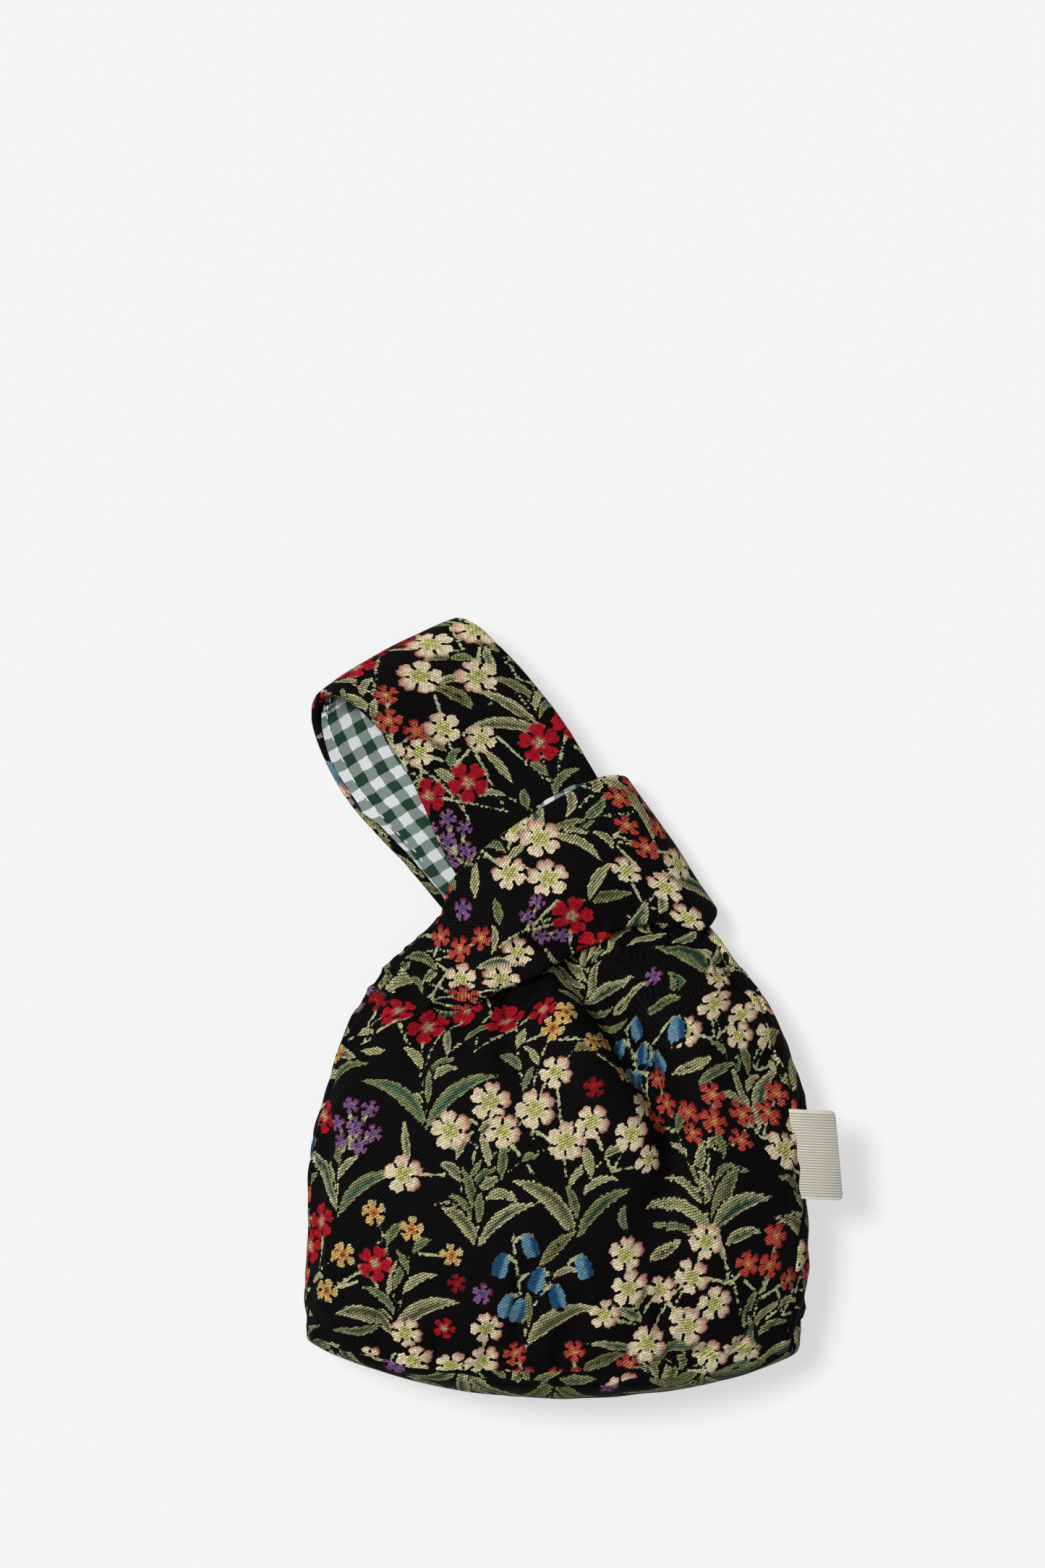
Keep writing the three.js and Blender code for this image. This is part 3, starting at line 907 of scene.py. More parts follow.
def tapestry_material(name):
    """Jacquard cloth: yarn floats with ragged ends, dark warp dots between them, and a grained ground."""
    look = Look(name)
    op = look.op
    yarn = look.node("Attribute", attribute_name="Yarn")
    warp = look.node("Attribute", attribute_name="Warp")
    x, y, cloth = look.cloth()
    grain_waves = [op("COSINE", op("MULTIPLY", value, math.pi / grain_pitch)) for value in (x, y)]
    fibre = look.noise(cloth, *fibre_noise)
    drift = look.ranged(look.noise(cloth, *drift_noise), noise_span, (-most_drift, most_drift))
    lift, lean = math.sin(float_slant), math.cos(float_slant)
    across = op("DIVIDE", op("SUBTRACT", op("MULTIPLY", y, lean), op("MULTIPLY", x, lift)), float_pitch)
    along = op("DIVIDE", op("ADD", op("MULTIPLY", x, lean), op("MULTIPLY", y, lift)), binding_pitch)
    across = op("ADD", across, drift)

    row = op("FLOOR", across)
    shifted = op("ADD", along, op("MULTIPLY", row, 0.5))
    place = look.node("CombineXYZ", {0: row, 1: op("FLOOR", shifted)})[0]
    chance = look.node("TexWhiteNoise", {"Vector": place}, noise_dimensions="2D")["Value"]
    jitter = look.ranged(chance, (0, 1), (-ragged, ragged))
    motif = look.ranged(op("ADD", yarn["Alpha"], jitter), motif_span)

    groove = look.ranged(look.wave(across), groove_span, (1, 0))
    gap = look.ranged(look.wave(shifted), gap_span, (1, 0))
    lines = op("ADD", op("MULTIPLY", groove, groove_share), op("MULTIPLY", gap, gap_share))
    crossings = op("MULTIPLY", op("MULTIPLY", groove, gap), crossing_share)
    closed = op("MINIMUM", op("ADD", lines, crossings), 1)
    open_shade = op("SUBTRACT", 1, op("MULTIPLY", closed, warp["Fac"]))
    fibre_shade = look.ranged(fibre, noise_span, fibre_shades)
    shade = op("MULTIPLY", open_shade, op("MULTIPLY", fibre_shade, look.ranged(chance, (0, 1), dash_shades)))
    shaded = look.node("VectorMath", {0: yarn["Color"], "Scale": shade}, operation="SCALE")[0]
    grain = look.ranged(op("MULTIPLY", *grain_waves), grain_span, (1, 0))
    ground = look.tone(grain, ground_tones)
    rise = op("SUBTRACT", op("MULTIPLY", motif, motif_rise), op("MULTIPLY", closed, warp_fall))
    return look.surface({
        "Base Color": look.mix(motif, ground, shaded),
        "Roughness": look.ranged(fibre, noise_span, tapestry_roughness),
        "Specular IOR Level": 0.06,
        "Normal": look.bump(rise, float_bump, {"Normal": look.bump(fibre, fibre_bump)}),
    })


def gingham_material(name):
    """Cotton check: white, a thread mix where a stripe crosses white, and full green where stripes cross."""
    look = Look(name)
    op = look.op
    x, y, cloth = look.cloth()
    wobble = look.ranged(look.noise(cloth, *wobble_noise), noise_span, (-check_wobble, check_wobble))
    repeats = (op("FRACT", op("DIVIDE", op("ADD", value, wobble), 2 * check_width)) for value in (x, y))
    stripes = [op("GREATER_THAN", repeat, 0.5) for repeat in repeats]
    threads = look.noise(cloth, *gingham_noise)
    twill_line = look.wave(op("MULTIPLY", op("ADD", x, y), twill_density))
    shade = look.ranged(op("ADD", threads, twill_line), twill_span)
    pale, half, deep = (look.tone(shade, tones) for tones in (pale_tones, half_tones, deep_tones))
    lighter = look.mix(op("MAXIMUM", *stripes), pale, half)
    weave = op("MULTIPLY", *(look.wave(op("MULTIPLY", value, weave_density)) for value in (x, y)))
    return look.surface({
        "Base Color": look.mix(op("MULTIPLY", *stripes), lighter, deep),
        "Roughness": look.ranged(threads, noise_span, gingham_roughness),
        "Specular IOR Level": 0.2,
        "Sheen Weight": 0.05,
        "Normal": look.bump(weave, gingham_bump),
    })


def ribbon_material(name):
    """Ivory grosgrain: ribs that run out from the seam, and a plain selvedge along both edges."""
    look = Look(name)
    op = look.op
    x, y, cloth = look.cloth()
    inner_edge = label_width / 2 - selvedge
    plain = look.ranged(op("ABSOLUTE", y), (inner_edge - selvedge_blur, inner_edge + selvedge_blur))
    rib = op("MAXIMUM", look.wave(op("DIVIDE", y, rib_pitch)), plain)
    threads = look.noise(cloth, *ribbon_noise)
    clouds = look.ranged(look.noise(cloth, *cloud_noise), cloud_span)
    rib_shade = look.ranged(rib, (0, 1), rib_shades)
    shade = op("MULTIPLY", rib_shade, look.ranged(threads, noise_span, ribbon_shades))
    return look.surface({
        "Base Color": look.mix(shade, linear_rgba(ribbon_shadow), look.tone(clouds, ribbon_tones)),
        "Roughness": look.ranged(threads, noise_span, ribbon_roughness),
        "Specular IOR Level": 0.3,
        "Sheen Weight": 0.1,
        "Normal": look.bump(rib, rib_bump),
    })


def thread_material(name):
    """White cotton sewing thread."""
    return Look(name).surface({"Base Color": linear_rgba(thread_colour), "Roughness": 0.8})


tapestry = tapestry_material("tapestry_cloth")
gingham = gingham_material("gingham_cloth")
ribbon = ribbon_material("ribbon")
thread = thread_material("sewing_thread")


# Padded pieces: an outer cloth with a woven design, and an inner cloth

normal_smoothings = 6


def finish_piece(piece, material):
    piece.data.materials.append(material)
    return piece


def outer_cloth(name, points, card, replaced, outward=1, up_first=False):
    """The outer cloth of a grid whose edges are rolled under already."""
    piece = make_grid(name, points, outward, card, up_first)
    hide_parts(*replaced)
    return finish_piece(piece, tapestry)


def inner_cloth(name, points, replaced, rests_on, outward):
    """A lining: a sheet, sewn in along its edges over its padding."""
    piece = make_grid(name, points, outward)
    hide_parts(*replaced)
    return finish_piece(piece, gingham)


def lining_grid(points, depth, far_inset=1):
    """A coarser copy of a grid, below it and a little inside its edges."""
    step = max(int(lining_cell / cloth_cell), 1)
    trimmed = points[1:-1, 1:-far_inset]
    kept = (np.append(np.arange(0, count, step), count - 1) for count in trimmed.shape[:2])
    rows, columns = map(np.unique, kept)
    coarse = trimmed[rows][:, columns]
    normals = grid_normals(coarse)
    for _ in range(normal_smoothings):
        normals = unit(normals + softened(normals))
    return coarse - normals * depth


# Body: the section's surface, pressed out by a cloth simulation, with its folds

cloth_frames = 20
cloth_settings = {
    "quality": 6,
    "mass": 0.3,
    "tension_stiffness": 12,
    "compression_stiffness": 12,
    "shear_stiffness": 4,
    "bending_stiffness": 0.35,
    "use_pressure": True,
    "uniform_pressure_force": 4,
    "shrink_min": -0.045,
    "vertex_group_mass": "held",
}
tube_across, tube_along = 110, 44
smoothing_reach, smoothing_passes = 5, 2
most_swell = 5.0


def settle(points, pinned_rows):
    """Runs the closed tube of points as cloth with air in it, and returns how each point moved."""
    index = np.arange(points.shape[0] * points.shape[1]).reshape(points.shape[:2])
    following = np.roll(index, -1, axis=0)
    corners = np.stack([index[:, :-1], index[:, 1:], following[:, 1:], following[:, :-1]], -1)
    faces = corners.reshape(-1, 4).tolist() + [index[:, 0].tolist(), index[::-1, -1].tolist()]
    tube = mesh_object("tube", points, faces)
    held = tube.vertex_groups.new(name="held")
    held.add(index[:, pinned_rows].ravel().tolist(), 1.0, "REPLACE")
    cloth = tube.modifiers.new("Cloth", "CLOTH")
    for title, value in cloth_settings.items():
        setattr(cloth.settings, title, value)
    cloth.settings.effector_weights.gravity = 0
    cloth.collision_settings.use_collision = False
    cloth.point_cache.frame_end = cloth_frames
    scene = bpy.context.scene
    for number in range(1, cloth_frames + 1):
        scene.frame_set(number)
    settled = tube.evaluated_get(bpy.context.evaluated_depsgraph_get()).to_mesh()
    places = np.zeros(points.size, np.float32)
    settled.vertices.foreach_get("co", places)
    scene.frame_set(1)
    bpy.data.objects.remove(tube)
    moved = places.reshape(points.shape) / metres_per_mm - points
    return moved - smoothed_round(moved)


def smoothed_round(values):
    """The values' running mean over a grid that closes on itself in its first direction."""
    reach = smoothing_reach
    window = (2 * reach + 1, 2 * reach + 1)
    for _ in range(smoothing_passes):
        padded = np.pad(values, ((reach, reach), (0, 0), (0, 0)), "wrap")
        padded = np.pad(padded, ((0, 0), (reach, reach), (0, 0)), "edge")
        values = np.lib.stride_tricks.sliding_window_view(padded, window, axis=(0, 1)).mean((-1, -2))
    return values


def bicubic(grid, p, q):
    """Smooth lookup in a grid that closes on itself in its first direction."""
    count_a, count_b = grid.shape[:2]
    i = np.floor(p).astype(int)
    j = np.floor(q).astype(int)

    def weights(t):
        t = t[..., None]
        return (
            ((2 - t) * t - 1) * t / 2,
            ((3 * t - 5) * t * t + 2) / 2,
            ((4 - 3 * t) * t + 1) * t / 2,
            (t - 1) * t * t / 2,
        )

    total = 0
    for di, wi in zip(range(-1, 3), weights(p - i)):
        for dj, wj in zip(range(-1, 3), weights(q - j)):
            total = total + wi * wj * grid[(i + di) % count_a, np.clip(j + dj, 0, count_b - 1)]
    return total


def settled_swell():
    """How far the simulation moves each place of the section's surface."""
    angles = np.linspace(0, 2 * math.pi, tube_across, endpoint=False)
    points = section_point(angles[:, None], np.linspace(0, 1, tube_along)[None, :])
    moved = settle(points, [0, 1, tube_along - 2, tube_along - 1])
    size = np.linalg.norm(moved, axis=-1, keepdims=True)
    return moved * np.minimum(1, most_swell / np.maximum(size, tiny))


swell = settled_swell()


def swell_at(angle, v):
    p = (angle / (2 * math.pi)) % 1 * tube_across
    q = np.clip(v, 0, 1) * (tube_along - 1)
    return bicubic(swell, p, q)


# Folds of the front: rows of x, y, depth and width. A negative depth is a ridge.
front_folds = [
    [(8, 96, 12, 8), (24, 72, 17, 8), (39, 48, 18, 8), (48, 29, 14, 8), (49, 10, 8, 9), (41, -14, 3.5, 11),
     (32, -50, 0, 13)],
    [(-64, 68, 1, 6), (-38, 74, 5, 6), (-14, 81, 7, 5.5), (0, 89, 5, 5.5), (12, 98, 0, 5.5)],
    [(46, 96, 0, 10), (55, 73, -4, 12), (65, 45, -3, 13), (72, 10, 0, 14)],
    [(-6, 92, -3, 9), (6, 66, -4, 9), (18, 42, -3, 11), (26, 6, 0, 14)],
    [(-41, 82, 5, 6), (-55, 73, 5, 6), (-62, 47, 3, 8), (-59, 16, 0, 12)],
    [(-84, 66, 4, 6), (-76, 44, 2.5, 8), (-72, 20, 0, 10)],
    [(-22, 84, 4, 5), (-22, 62, 3, 7), (-14, 38, 0, 10)],
    [(92, 56, 3.5, 6), (78, 38, 2, 8), (68, 14, 0, 10)],
    [(72, 96, 3, 5), (77, 76, 2, 6), (84, 58, 0, 8)],
]
fold_points = 48


def fold_depth(points, folds):
    total = np.zeros(points.shape[:2])
    for rows in folds:
        path = spline(rows, np.linspace(0, 1, fold_points))
        gap = np.hypot(points[..., 0, None] - path[:, 0], points[..., 1, None] - path[:, 1])
        nearest = gap.argmin(-1)
        distance = np.take_along_axis(gap, nearest[..., None], -1)[..., 0]
        depth, width = path[nearest, 2], path[nearest, 3]
        total += depth * np.exp(-((distance / width) ** 2))
    return total


noise_squares = 64
noise_origin = 2000


def soft_noise(x, y, seed, size):
    """Smooth seeded noise from about -1 to 1 over a plane, with features of about that size."""
    rng = np.random.default_rng(seed)
    grid = rng.uniform(-1, 1, (noise_squares, noise_squares, 1))
    column = (x + noise_origin) / size % noise_squares
    row = np.clip((y + noise_origin) / size % (noise_squares - 3), 1, noise_squares - 4)
    return bicubic(grid, column, row)[..., 0]


# How a panel departs from the section, in millimetres: how far in from its edges the swell and the puckers
# reach, how high puckers and waves rise, and their sizes. The top, in shares of the height, stays smooth.
panel_width, panel_length = 232, 206
side_fade, foot_fade, pucker_fade = 14, 12, 9
swell_top, fold_top = (0.86, 0.99), (0.84, 0.95)
side_pucker, foot_pucker, wave_rise = 0.75, 0.8, 0.55
side_pucker_size, foot_pucker_size, wave_size = 7, 8, 17
side_pucker_stretch, foot_pucker_stretch, pucker_turn = 0.4, 0.5, 90


def panel_grid(angle_of, seed, folds=()):
    """A panel of the body, with the simulated swell, its puckers, its waves and its folds."""
    rows = np.linspace(0, 1, int(panel_length / cloth_cell))
    count = int(panel_width / cloth_cell)
    columns = even_shares(lambda a, v: section_point(angle_of(a, v), v), rows, count)
    v = np.broadcast_to(rows[None, :], columns.shape)
    angle = angle_of(columns, v)
    points = section_point(angle, v)
    normals = grid_normals(points)
    run = lengths(points, 0)
    from_side = np.minimum(run, run[-1:] - run)
    from_foot = lengths(points, 1)
    fade = smoothstep(from_side, 0, side_fade) * smoothstep(from_foot, 0, foot_fade)
    fade = fade * (1 - smoothstep(v, *swell_top))
    points = points + swell_at(angle, v) * fade[..., None]
    along_side = from_foot + angle * pucker_turn
    side_ripple = soft_noise(along_side, from_side * side_pucker_stretch, seed, side_pucker_size)
    foot_ripple = soft_noise(lengths(points, 0), from_foot * foot_pucker_stretch, seed + 1, foot_pucker_size)
    height = side_ripple * (side_pucker * np.exp(-from_side / pucker_fade))
    height = height + foot_ripple * (foot_pucker * np.exp(-from_foot / pucker_fade))
    height = height + soft_noise(points[..., 0], points[..., 1], seed + 2, wave_size) * wave_rise * fade
    points = points + normals * height[..., None]
    points -= normals * (fold_depth(points, folds) * (1 - smoothstep(v, *fold_top)))[..., None]
    points[..., 2] = np.maximum(points[..., 2], lowest_inner)
    return points


# The cards' size in millimetres, and the seeds of the woven designs and of the puckers
panel_card_size, card_seeds, pucker_seeds = (250, 240), (3, 8), (11, 21)
panel_lining_gap = 0.15
panels = {
    "front_panel": (
        panel_grid(front_angle, pucker_seeds[0], front_folds), woven_card(*panel_card_size, card_seeds[0])
    ),
    "back_panel": (panel_grid(back_angle, pucker_seeds[1]), woven_card(*panel_card_size, card_seeds[1])),
}
body_pieces = []
for name, (points, card) in panels.items():
    grown = rolled_edges(points, all_edges, body_thickness / 2)
    body_pieces.append(outer_cloth(name, grown, card, [f"{name}_shell", f"{name}_padding"]))
for name, (points, _) in panels.items():
    inside = lining_grid(points, body_thickness + panel_lining_gap)
    inside[..., 2] = np.maximum(inside[..., 2], body_thickness)
    body_pieces.append(inner_cloth(f"{name}_inner_cloth", inside, [f"{name}_lining"], name, -1))


# Base: an oval of cloth that rounds out from the seams with the two panels

base_ends = (0.006, 0.994)
base_width, base_height = 238, 62
base_roundness, base_sharpness, base_taper = 3.2, 2.4, 0.35
base_ripple, base_ripple_size, base_ripple_stretch, base_seed = 0.5, 11, 2, 43
base_edge_radius, base_edge_steps = 1.6, 3
base_lining_inset, base_lining_step = 4, 3
base_card_size, base_card_seed = (250, 80), 17


def base_grid():
    a = np.linspace(*base_ends, int(base_width / cloth_cell))[:, None]
    b = np.linspace(0, 1, int(base_height / cloth_cell))[None, :]
    angle = math.pi * a
    points = mix(section_point(angle, 0 * a), section_point(-angle, 0 * a), b[..., None])
    round_out = (1 - np.abs(2 * b - 1) ** base_roundness) ** (1 / base_sharpness)
    bulge = base_thickness + layer_gap + base_bulge * np.sin(angle) * 4 * b * (1 - b)
    points[..., 1] -= bulge * round_out * np.sin(angle) ** base_taper
    ripple = soft_noise(points[..., 0], points[..., 2] * base_ripple_stretch, base_seed, base_ripple_size)
    points[..., 1] -= base_ripple * ripple * round_out
    return points


base_points = base_grid()
base_outward = -facing(base_points, tuple(count // 2 for count in base_points.shape[:2]), 1)
base_rolled = rolled_edges(base_points, long_edges, base_edge_radius, base_edge_steps)
base_card = woven_card(*base_card_size, base_card_seed)
base_shells = ["base_shell", "base_padding"]
body_pieces.append(outer_cloth("base", base_rolled, base_card, base_shells, base_outward))
trimmed = slice(base_lining_inset, -base_lining_inset, base_lining_step)
base_inside = base_points[trimmed, trimmed] + np.array([0, base_thickness, 0])
body_pieces.append(inner_cloth("base_inner_cloth", base_inside, ["base_lining"], "base", -base_outward))
for piece in body_pieces:
    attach(piece, "bag")


# Straps

handle_across = int(handle_width / cloth_cell)
strap_fullness, strap_ripple, strap_ripple_size, strap_seed = 0.5, 0.5, 16, 31
crown_span = 0.07


def strap_grid(place, length, crown):
    """A strap's top surface, with a little fullness between its edges and a crown half way along."""
    inset = strap_thickness / 2 / handle_width
    a = np.linspace(0, 1, int(length / cloth_cell))[:, None]
    b = np.linspace(inset, 1 - inset, handle_across)[None, :]
    a, b = np.broadcast_arrays(a, b)
    points = place(a, b)
    fullness = strap_fullness + crown * np.exp(-(((a - 0.5) / crown_span) ** 2))
    fullness = (1 - np.abs(2 * b - 1) ** 4) * fullness
    ripple = soft_noise(a * length, b * handle_width, strap_seed, strap_ripple_size)
    return points + grid_normals(points) * (fullness + strap_ripple * ripple)[..., None]


root_share = 0.14


def loop_place(a, b):
    """The whole long handle: out of the neck, through the knot, round the wrist loop and back."""
    neck_front = section_point(front_angle(mix(*front_root_shares, b), 1), 0 * b + 1)
    neck_back = section_point(back_angle(1 - mix(*back_root_shares, b), 1), 0 * b + 1)
    loop_a = np.clip((a - root_share) / (1 - 2 * root_share), 0, 1)
    places = (0 * a, loop_a, 0 * a + 1)
    start, loop, end = (strap_between(loop_right_edge, loop_left_edge, place, b) for place in places)
    front_part = mix(neck_front, start, np.clip(a / root_share, 0, 1)[..., None])
    back_part = mix(end, neck_back, np.clip((a - 1 + root_share) / root_share, 0, 1)[..., None])
    points = np.where((a < root_share)[..., None], front_part, loop)
    return np.where((a > 1 - root_share)[..., None], back_part, points)


# The short handle's front strap grows out of the body's left shoulder: rows before the frame's own
shoulder_lower_shares = [[-1.34, -0.1, 0.7], [-1.05, -0.2, 0.78]]
shoulder_upper_shares = [[-1.34, 0.19, 0.7], [-1.05, 0.272, 0.8]]
shoulder_lower = scaled(shoulder_lower_shares, handle_width, handle_width, body_depth)
shoulder_upper = scaled(shoulder_upper_shares, handle_width, handle_width, ring_top)
whole_lower_edge = np.vstack([shoulder_lower, ring_lower_edge])
whole_upper_edge = np.vstack([shoulder_upper, ring_upper_edge])
shoulder_sink, most_tuck, push_softness = 1.6, 14, 1.2

# Spans across the knot over which the front strap comes out of the shoulder, comes free, and ends its tuck
shoulder_span, free_span, tuck_span = (-92, -56), (-62, -44), (22, 36)
tuck_share = 0.42


def ring_place(a, b):
    return strap_between(whole_lower_edge, whole_upper_edge, a, b)


def heights_on(tree, points):
    """Height of the surface under each point, or of its nearest place where nothing is under it."""
    above = 200
    flat = points.reshape(-1, 3)
    heights = np.empty(len(flat))
    for k, (x, y, z) in enumerate(flat.tolist()):
        hit = tree.ray_cast(Vector((x, y, above)), Vector((0, 0, -1)))[0]
        heights[k] = (hit or tree.find_nearest(Vector((x, y, z)))[0]).z
    return heights.reshape(points.shape[:-1])


def laid_on_body(points):
    """The short handle, its front strap laid on the body, the lower edge tucked down and the end sunk in."""
    front = points[: len(points) // 2]
    under = heights_on(mesh_tree(panels["front_panel"][0]), front)
    across = to_knot(front)[..., 0]
    thickness = strap_thickness + layer_gap
    merged = under + mix(-shoulder_sink, thickness, smoothstep(across, *shoulder_span))
    clear = under + thickness
    from_edge = np.linspace(0, 1, front.shape[1])[None, :]
    tuck = (1 - smoothstep(from_edge, 0, tuck_share)) * (1 - smoothstep(across, *tuck_span))
    drop = np.minimum(np.maximum(front[..., 2] - clear, 0), most_tuck)
    lowered = front[..., 2] - drop * tuck
    pushed = lowered + push_softness * np.logaddexp(0, (clear - lowered) / push_softness)
    front[..., 2] = mix(merged, pushed, smoothstep(across, *free_span))
    return points


# Inner cloths of the straps. The peek's spans are millimetres across the knot, the others shares of a strap.
strap_lining_gap = 0.1
peek_start, peek_end, band_peek = (2, 12), (24, 37), 4.6
loop_margin_span, knot_margin_span, knot_margin_share = (0.54, 0.72), (0.74, 0.8), 0.75
loop_set_back, loop_overhang = -1.4, 2.0
pleat_length, pleat_rise = 8, 1.1
pleats_start, pleats_end, pleats_across = (0.5, 0.53), (0.56, 0.62), (0.35, 0.7)
loop_length, loop_crown, loop_card_size, loop_card_seed = 330, 2.2, (90, 360), 29
ring_length, ring_crown, ring_card_size, ring_card_seed = 290, 0, (90, 300), 37


def band_reach(grid):
    """The band's inner cloth peeks out past its far edge, over the knot's right half."""
    across = to_knot(grid[:, -1])[:, 0]
    shown = smoothstep(across, *peek_start) * (1 - smoothstep(across, *peek_end))
    return band_peek * shown * (grid[:, -1, 2] > strand_top)


def loop_reach(grid):
    """The wrist loop's inner cloth stands back from its far edge at the top, and covers it lower down."""
    along = np.linspace(0, 1, len(grid))
    covered = smoothstep(along, *loop_margin_span)
    covered = covered * (1 - knot_margin_share * smoothstep(along, *knot_margin_span))
    return mix(loop_set_back, loop_overhang, covered)


def loop_pleats(grid):
    """Small pleats where the wrist loop's inner cloth turns over its top."""
    along = np.linspace(0, 1, len(grid))[:, None]
    across = np.linspace(0, 1, grid.shape[1])[None, :]
    window = smoothstep(along, *pleats_start) * (1 - smoothstep(along, *pleats_end))
    window = window * smoothstep(across, *pleats_across)
    wave = 0.5 + 0.5 * np.cos(2 * math.pi * (along * loop_length / pleat_length + across))
    return grid - grid_normals(grid) * (pleat_rise * window * wave)[..., None]


def reaching(grid, reach):
    """A strap's inner cloth with its far edge moved outward by what reach says for each row."""
    shift = reach(grid)
    outward_step = unit(grid[:, -1] - grid[:, -3])
    outward_step[:, 2] = 0
    grid[:, -1] += outward_step * shift[:, None]
    grid[:, -2] += outward_step * (shift / 2)[:, None]
    grid[..., 2] = np.maximum(grid[..., 2], lowest_inner)
    return grid


def layered(stems, *layers):
    return [f"{stem}_{layer}" for stem in stems for layer in layers]


def make_strap(name, points, inside, card, stems):
    """A strap's outer and inner cloth. On its front strap, the outer cloth faces up."""
    outward = facing(points, (len(points) // 4, handle_across // 2), 2)
    grown = rolled_edges(points, long_edges, strap_thickness / 2)
    shells = layered(stems, "shell", "interfacing")
    outer = outer_cloth(name, grown, card, shells, outward, up_first=True)
    inner = inner_cloth(f"{name}_inner_cloth", inside, layered(stems, "lining"), name, -outward)
    return [outer, inner]


stitch_pitch, stitch_length, stitch_width, stitch_rise = 5.0, 2.5, 0.7, 0.5
stitch_rings, stitch_sides = 5, 8
stitch_column, stitches_start, stitches_end = -4, 0.2, 0.9
stitch_aim = 0.5


def spindle_faces(rings, sides):
    """The faces of a closed spindle: two points at its ends, and rings between them."""
    faces = []
    last = 2 + (rings - 1) * sides
    for side in range(sides):
        after = (side + 1) % sides
        faces.append((0, 2 + after, 2 + side))
        faces.append((1, last + side, last + after))
        for low in range(2, last, sides):
            high = low + sides
            faces.append((low + side, low + after, high + after, high + side))
    return faces


def stitch_points(middle, ahead, side, up):
    """One stitch: its two ends, and the rings between them."""
    reach = ahead * stitch_length / 2
    points = [middle - reach, middle + reach]
    for angle in np.linspace(0, math.pi, stitch_rings + 2)[1:-1]:
        for turn in np.linspace(0, 2 * math.pi, stitch_sides, endpoint=False):
            lifted = side * math.cos(turn) * stitch_width / 2 + up * math.sin(turn) * stitch_rise
            points.append(middle - reach * math.cos(angle) + lifted * math.sin(angle))
    return points


def stitch_row(name, grid):
    """Running stitches along one column of a cloth's grid, half sunk in it."""
    line, beside = grid[:, stitch_column], grid[:, stitch_column + 1]
    travelled = np.append(0, np.cumsum(np.linalg.norm(np.diff(line, axis=0), axis=1)))
    middles = np.arange(stitches_start * travelled[-1], stitches_end * travelled[-1], stitch_pitch)

    def at(rows, places):
        return np.stack([np.interp(places, travelled, rows[:, axis]) for axis in range(3)], -1)

    forward = unit(at(line, middles + stitch_aim) - at(line, middles - stitch_aim))
    sideways = unit(at(beside, middles) - at(line, middles))
    upward = unit(np.cross(forward, sideways))
    faces = spindle_faces(stitch_rings, stitch_sides)
    all_points, all_faces = [], []
    for place in zip(at(line, middles), forward, sideways, upward):
        all_faces += [tuple(corner + len(all_points) for corner in face) for face in faces]
        all_points += stitch_points(*place)
    piece = mesh_object(name, np.array(all_points), all_faces)
    piece.data.shade_smooth()
    return finish_piece(piece, thread)


loop_points = strap_grid(loop_place, loop_length, loop_crown)
loop_inside = loop_pleats(lining_grid(loop_points, strap_thickness + strap_lining_gap, far_inset=2))
loop_inside = reaching(loop_inside, loop_reach)
loop_stems = ["long_handle_front", "long_handle_back", "long_handle_front_root", "long_handle_back_root"]
loop_card = woven_card(*loop_card_size, loop_card_seed, strap_spacing)
loop_pieces = make_strap("long_handle", loop_points, loop_inside, loop_card, loop_stems)
loop_pieces.append(stitch_row("long_handle_stitches", loop_inside))

ring_points = laid_on_body(strap_grid(ring_place, ring_length, ring_crown))
ring_inside = reaching(lining_grid(ring_points, strap_thickness + strap_lining_gap), band_reach)
ring_stems = ["short_handle_front", "short_handle_back"]
ring_card = woven_card(*ring_card_size, ring_card_seed, strap_spacing)
ring_pieces = make_strap("short_handle", ring_points, ring_inside, ring_card, ring_stems)

# Two places on each strap: along the knot for the long handle, and across it for the short one. Nothing in the
# script moves by them
loop_bend = [(0, 38, strand_top), (0, 70, strand_top)]
ring_stretch = [(-80, 0, strand_top), (-40, 0, strand_top)]


def blend_pieces(pieces, places):
    start, end = knot_to_frame(np.array(places, float)) * metres_per_mm
    for piece in pieces:
        tuple(start)
        tuple(end)
        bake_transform(piece)


blend_pieces(loop_pieces, loop_bend)
blend_pieces(ring_pieces, ring_stretch)


# Label: a bare ribbon folded in half, both ends in the side seam

label_corner = 2.2
label_seam_depth = 3.0
label_fullness = 0.3
label_curl, label_curl_turns = 0.8, 1.3
label_step = 0.004
label_rows, label_columns = 90, 70
label_face = (8, 30)


def seam_point(share):
    """A point of the right side seam, at a share of the way up."""
    return section_point(front_angle(np.array(1.0), share), np.array(share))


label_side = seam_point(label_seam_share + label_step) - seam_point(label_seam_share - label_step)
label_side = unit(label_side * [1, 1, 0])
label_out = np.array([label_side[1], -label_side[0], 0])
label_out = label_out * math.cos(label_lean) + label_side * math.sin(label_lean)


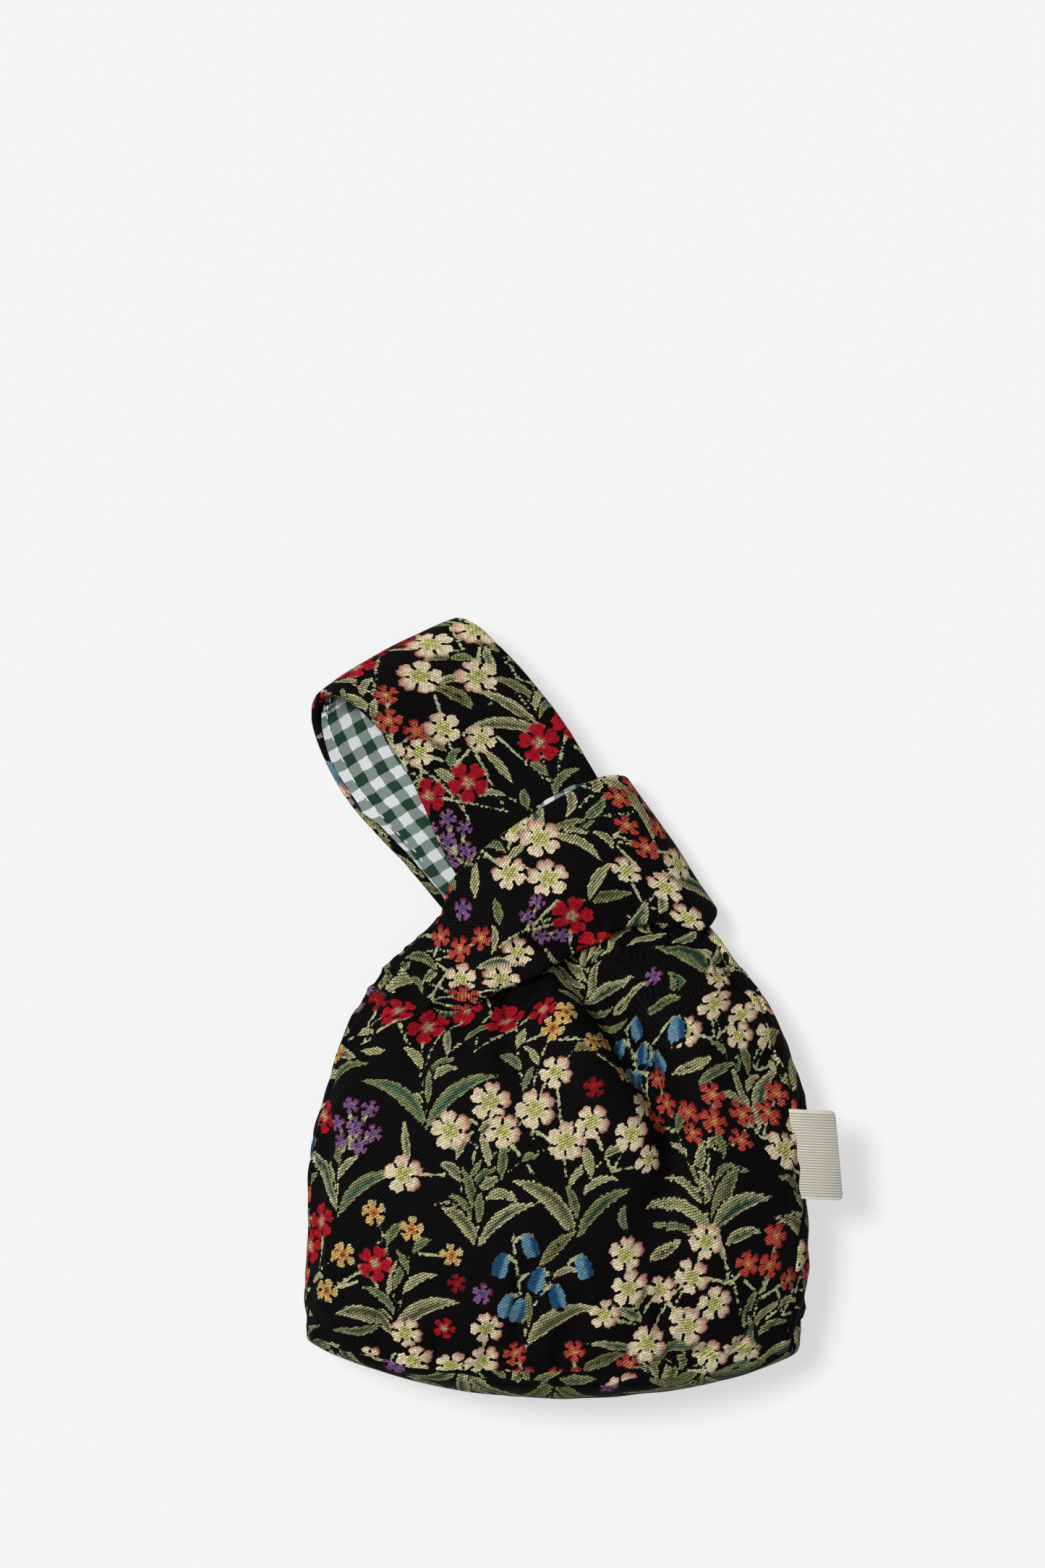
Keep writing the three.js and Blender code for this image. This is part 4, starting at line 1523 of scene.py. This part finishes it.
def label_grid():
    """The ribbon's outer face, from one end in the seam, round the fold, to the other end."""
    half = ribbon_thickness + ribbon_gap / 2
    tip = label_standoff + label_reach
    middle = label_standoff + label_reach / 2
    upper = [[-label_seam_depth, half], [middle, half + label_fullness], [tip - half, half]]
    lower = [[out, -height] for out, height in upper[::-1]]
    path = spline([*upper, [tip, 0], *lower], np.linspace(0, 1, label_rows))
    out = path[:, 0]
    past_corner = np.clip(out - (tip - label_corner), 0, label_corner)
    half_width = label_width / 2 - label_corner + np.sqrt(label_corner**2 - past_corner**2)
    b = np.linspace(-1, 1, label_columns)[None, :] * half_width[:, None]
    droop = label_droop * (np.maximum(out, 0) / label_reach) ** 2
    curl = label_curl * np.cos(b / label_width * math.pi * label_curl_turns) * (out / label_reach)[:, None]
    points = seam_point(label_seam_share) + label_side * b[..., None] + label_out * out[:, None, None]
    points[..., 2] += (path[:, 1] - droop)[:, None] + curl
    return points


label_points = label_grid()
label = make_grid("side_ribbon_label", label_points, facing(label_points, label_face, 2))
label_layer = label.modifiers.new("ribbon", "SOLIDIFY")
label_layer.thickness = ribbon_thickness * metres_per_mm
label_layer.offset = -1
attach(label, "label")
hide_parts("side_label")
finish_piece(label, ribbon)


# Floor, lamps and camera

floor_reach = 4000
floor_colour = (243, 243, 243)
floor_white_share = 0.7


def make_floor():
    """A white surface that takes shadows, and that looks whiter to the camera than it lights the bag."""
    look = Look("floor")
    colour = linear_rgba(floor_colour)
    look.surface({"Base Color": colour, "Roughness": 0.9, "Specular IOR Level": 0.1})
    glow = look.node("Emission", {"Color": colour})[0]
    path = look.node("LightPath")
    seen = look.op("MAXIMUM", path["Is Camera Ray"], path["Is Glossy Ray"])
    seen = look.op("MAXIMUM", seen, path["Is Transmission Ray"])
    share = look.op("MULTIPLY", seen, floor_white_share)
    both = look.node("MixShader", {0: share, 1: look.shader.outputs[0], 2: glow})[0]
    look.put(look.nodes["Material Output"].inputs["Surface"], both)
    corners = np.array([(-1, -1, 0), (1, -1, 0), (1, 1, 0), (-1, 1, 0)]) * floor_reach
    floor = mesh_object("floor", corners, [(0, 1, 2, 3)])
    floor.data.materials.append(look.material)


make_floor()

world = bpy.data.worlds.new("studio")
bpy.context.scene.world = world
world.use_nodes = True
background = world.node_tree.nodes["Background"]
background.inputs["Color"].default_value = (1, 1, 1, 1)
background.inputs["Strength"].default_value = 0.22

sun_data = bpy.data.lights.new("key", "SUN")
sun_data.energy = 3.1
sun_data.angle = math.radians(20)
sun = new_object("key", sun_data)
sun.rotation_mode = "QUATERNION"
sun_from = Vector((-0.5, 0.32, 1.0))
sun.rotation_quaternion = sun_from.to_track_quat("Z", "Y")

# The camera looks straight down. The view's centre and height, and the camera's distance, are in metres.
view_centre = (-0.0153, 0.1724)
view_height = 0.672
camera_distance = 3.0
sensor_width = 36
camera_data = bpy.data.cameras.new("camera")
camera_data.sensor_width = sensor_width
camera_data.lens = sensor_width * camera_distance / view_height
camera_data.clip_end = 20
camera = new_object("camera", camera_data)
camera.location = (*view_centre, camera_distance)
bpy.context.scene.camera = camera

bpy.context.scene.view_settings.view_transform = "Standard"
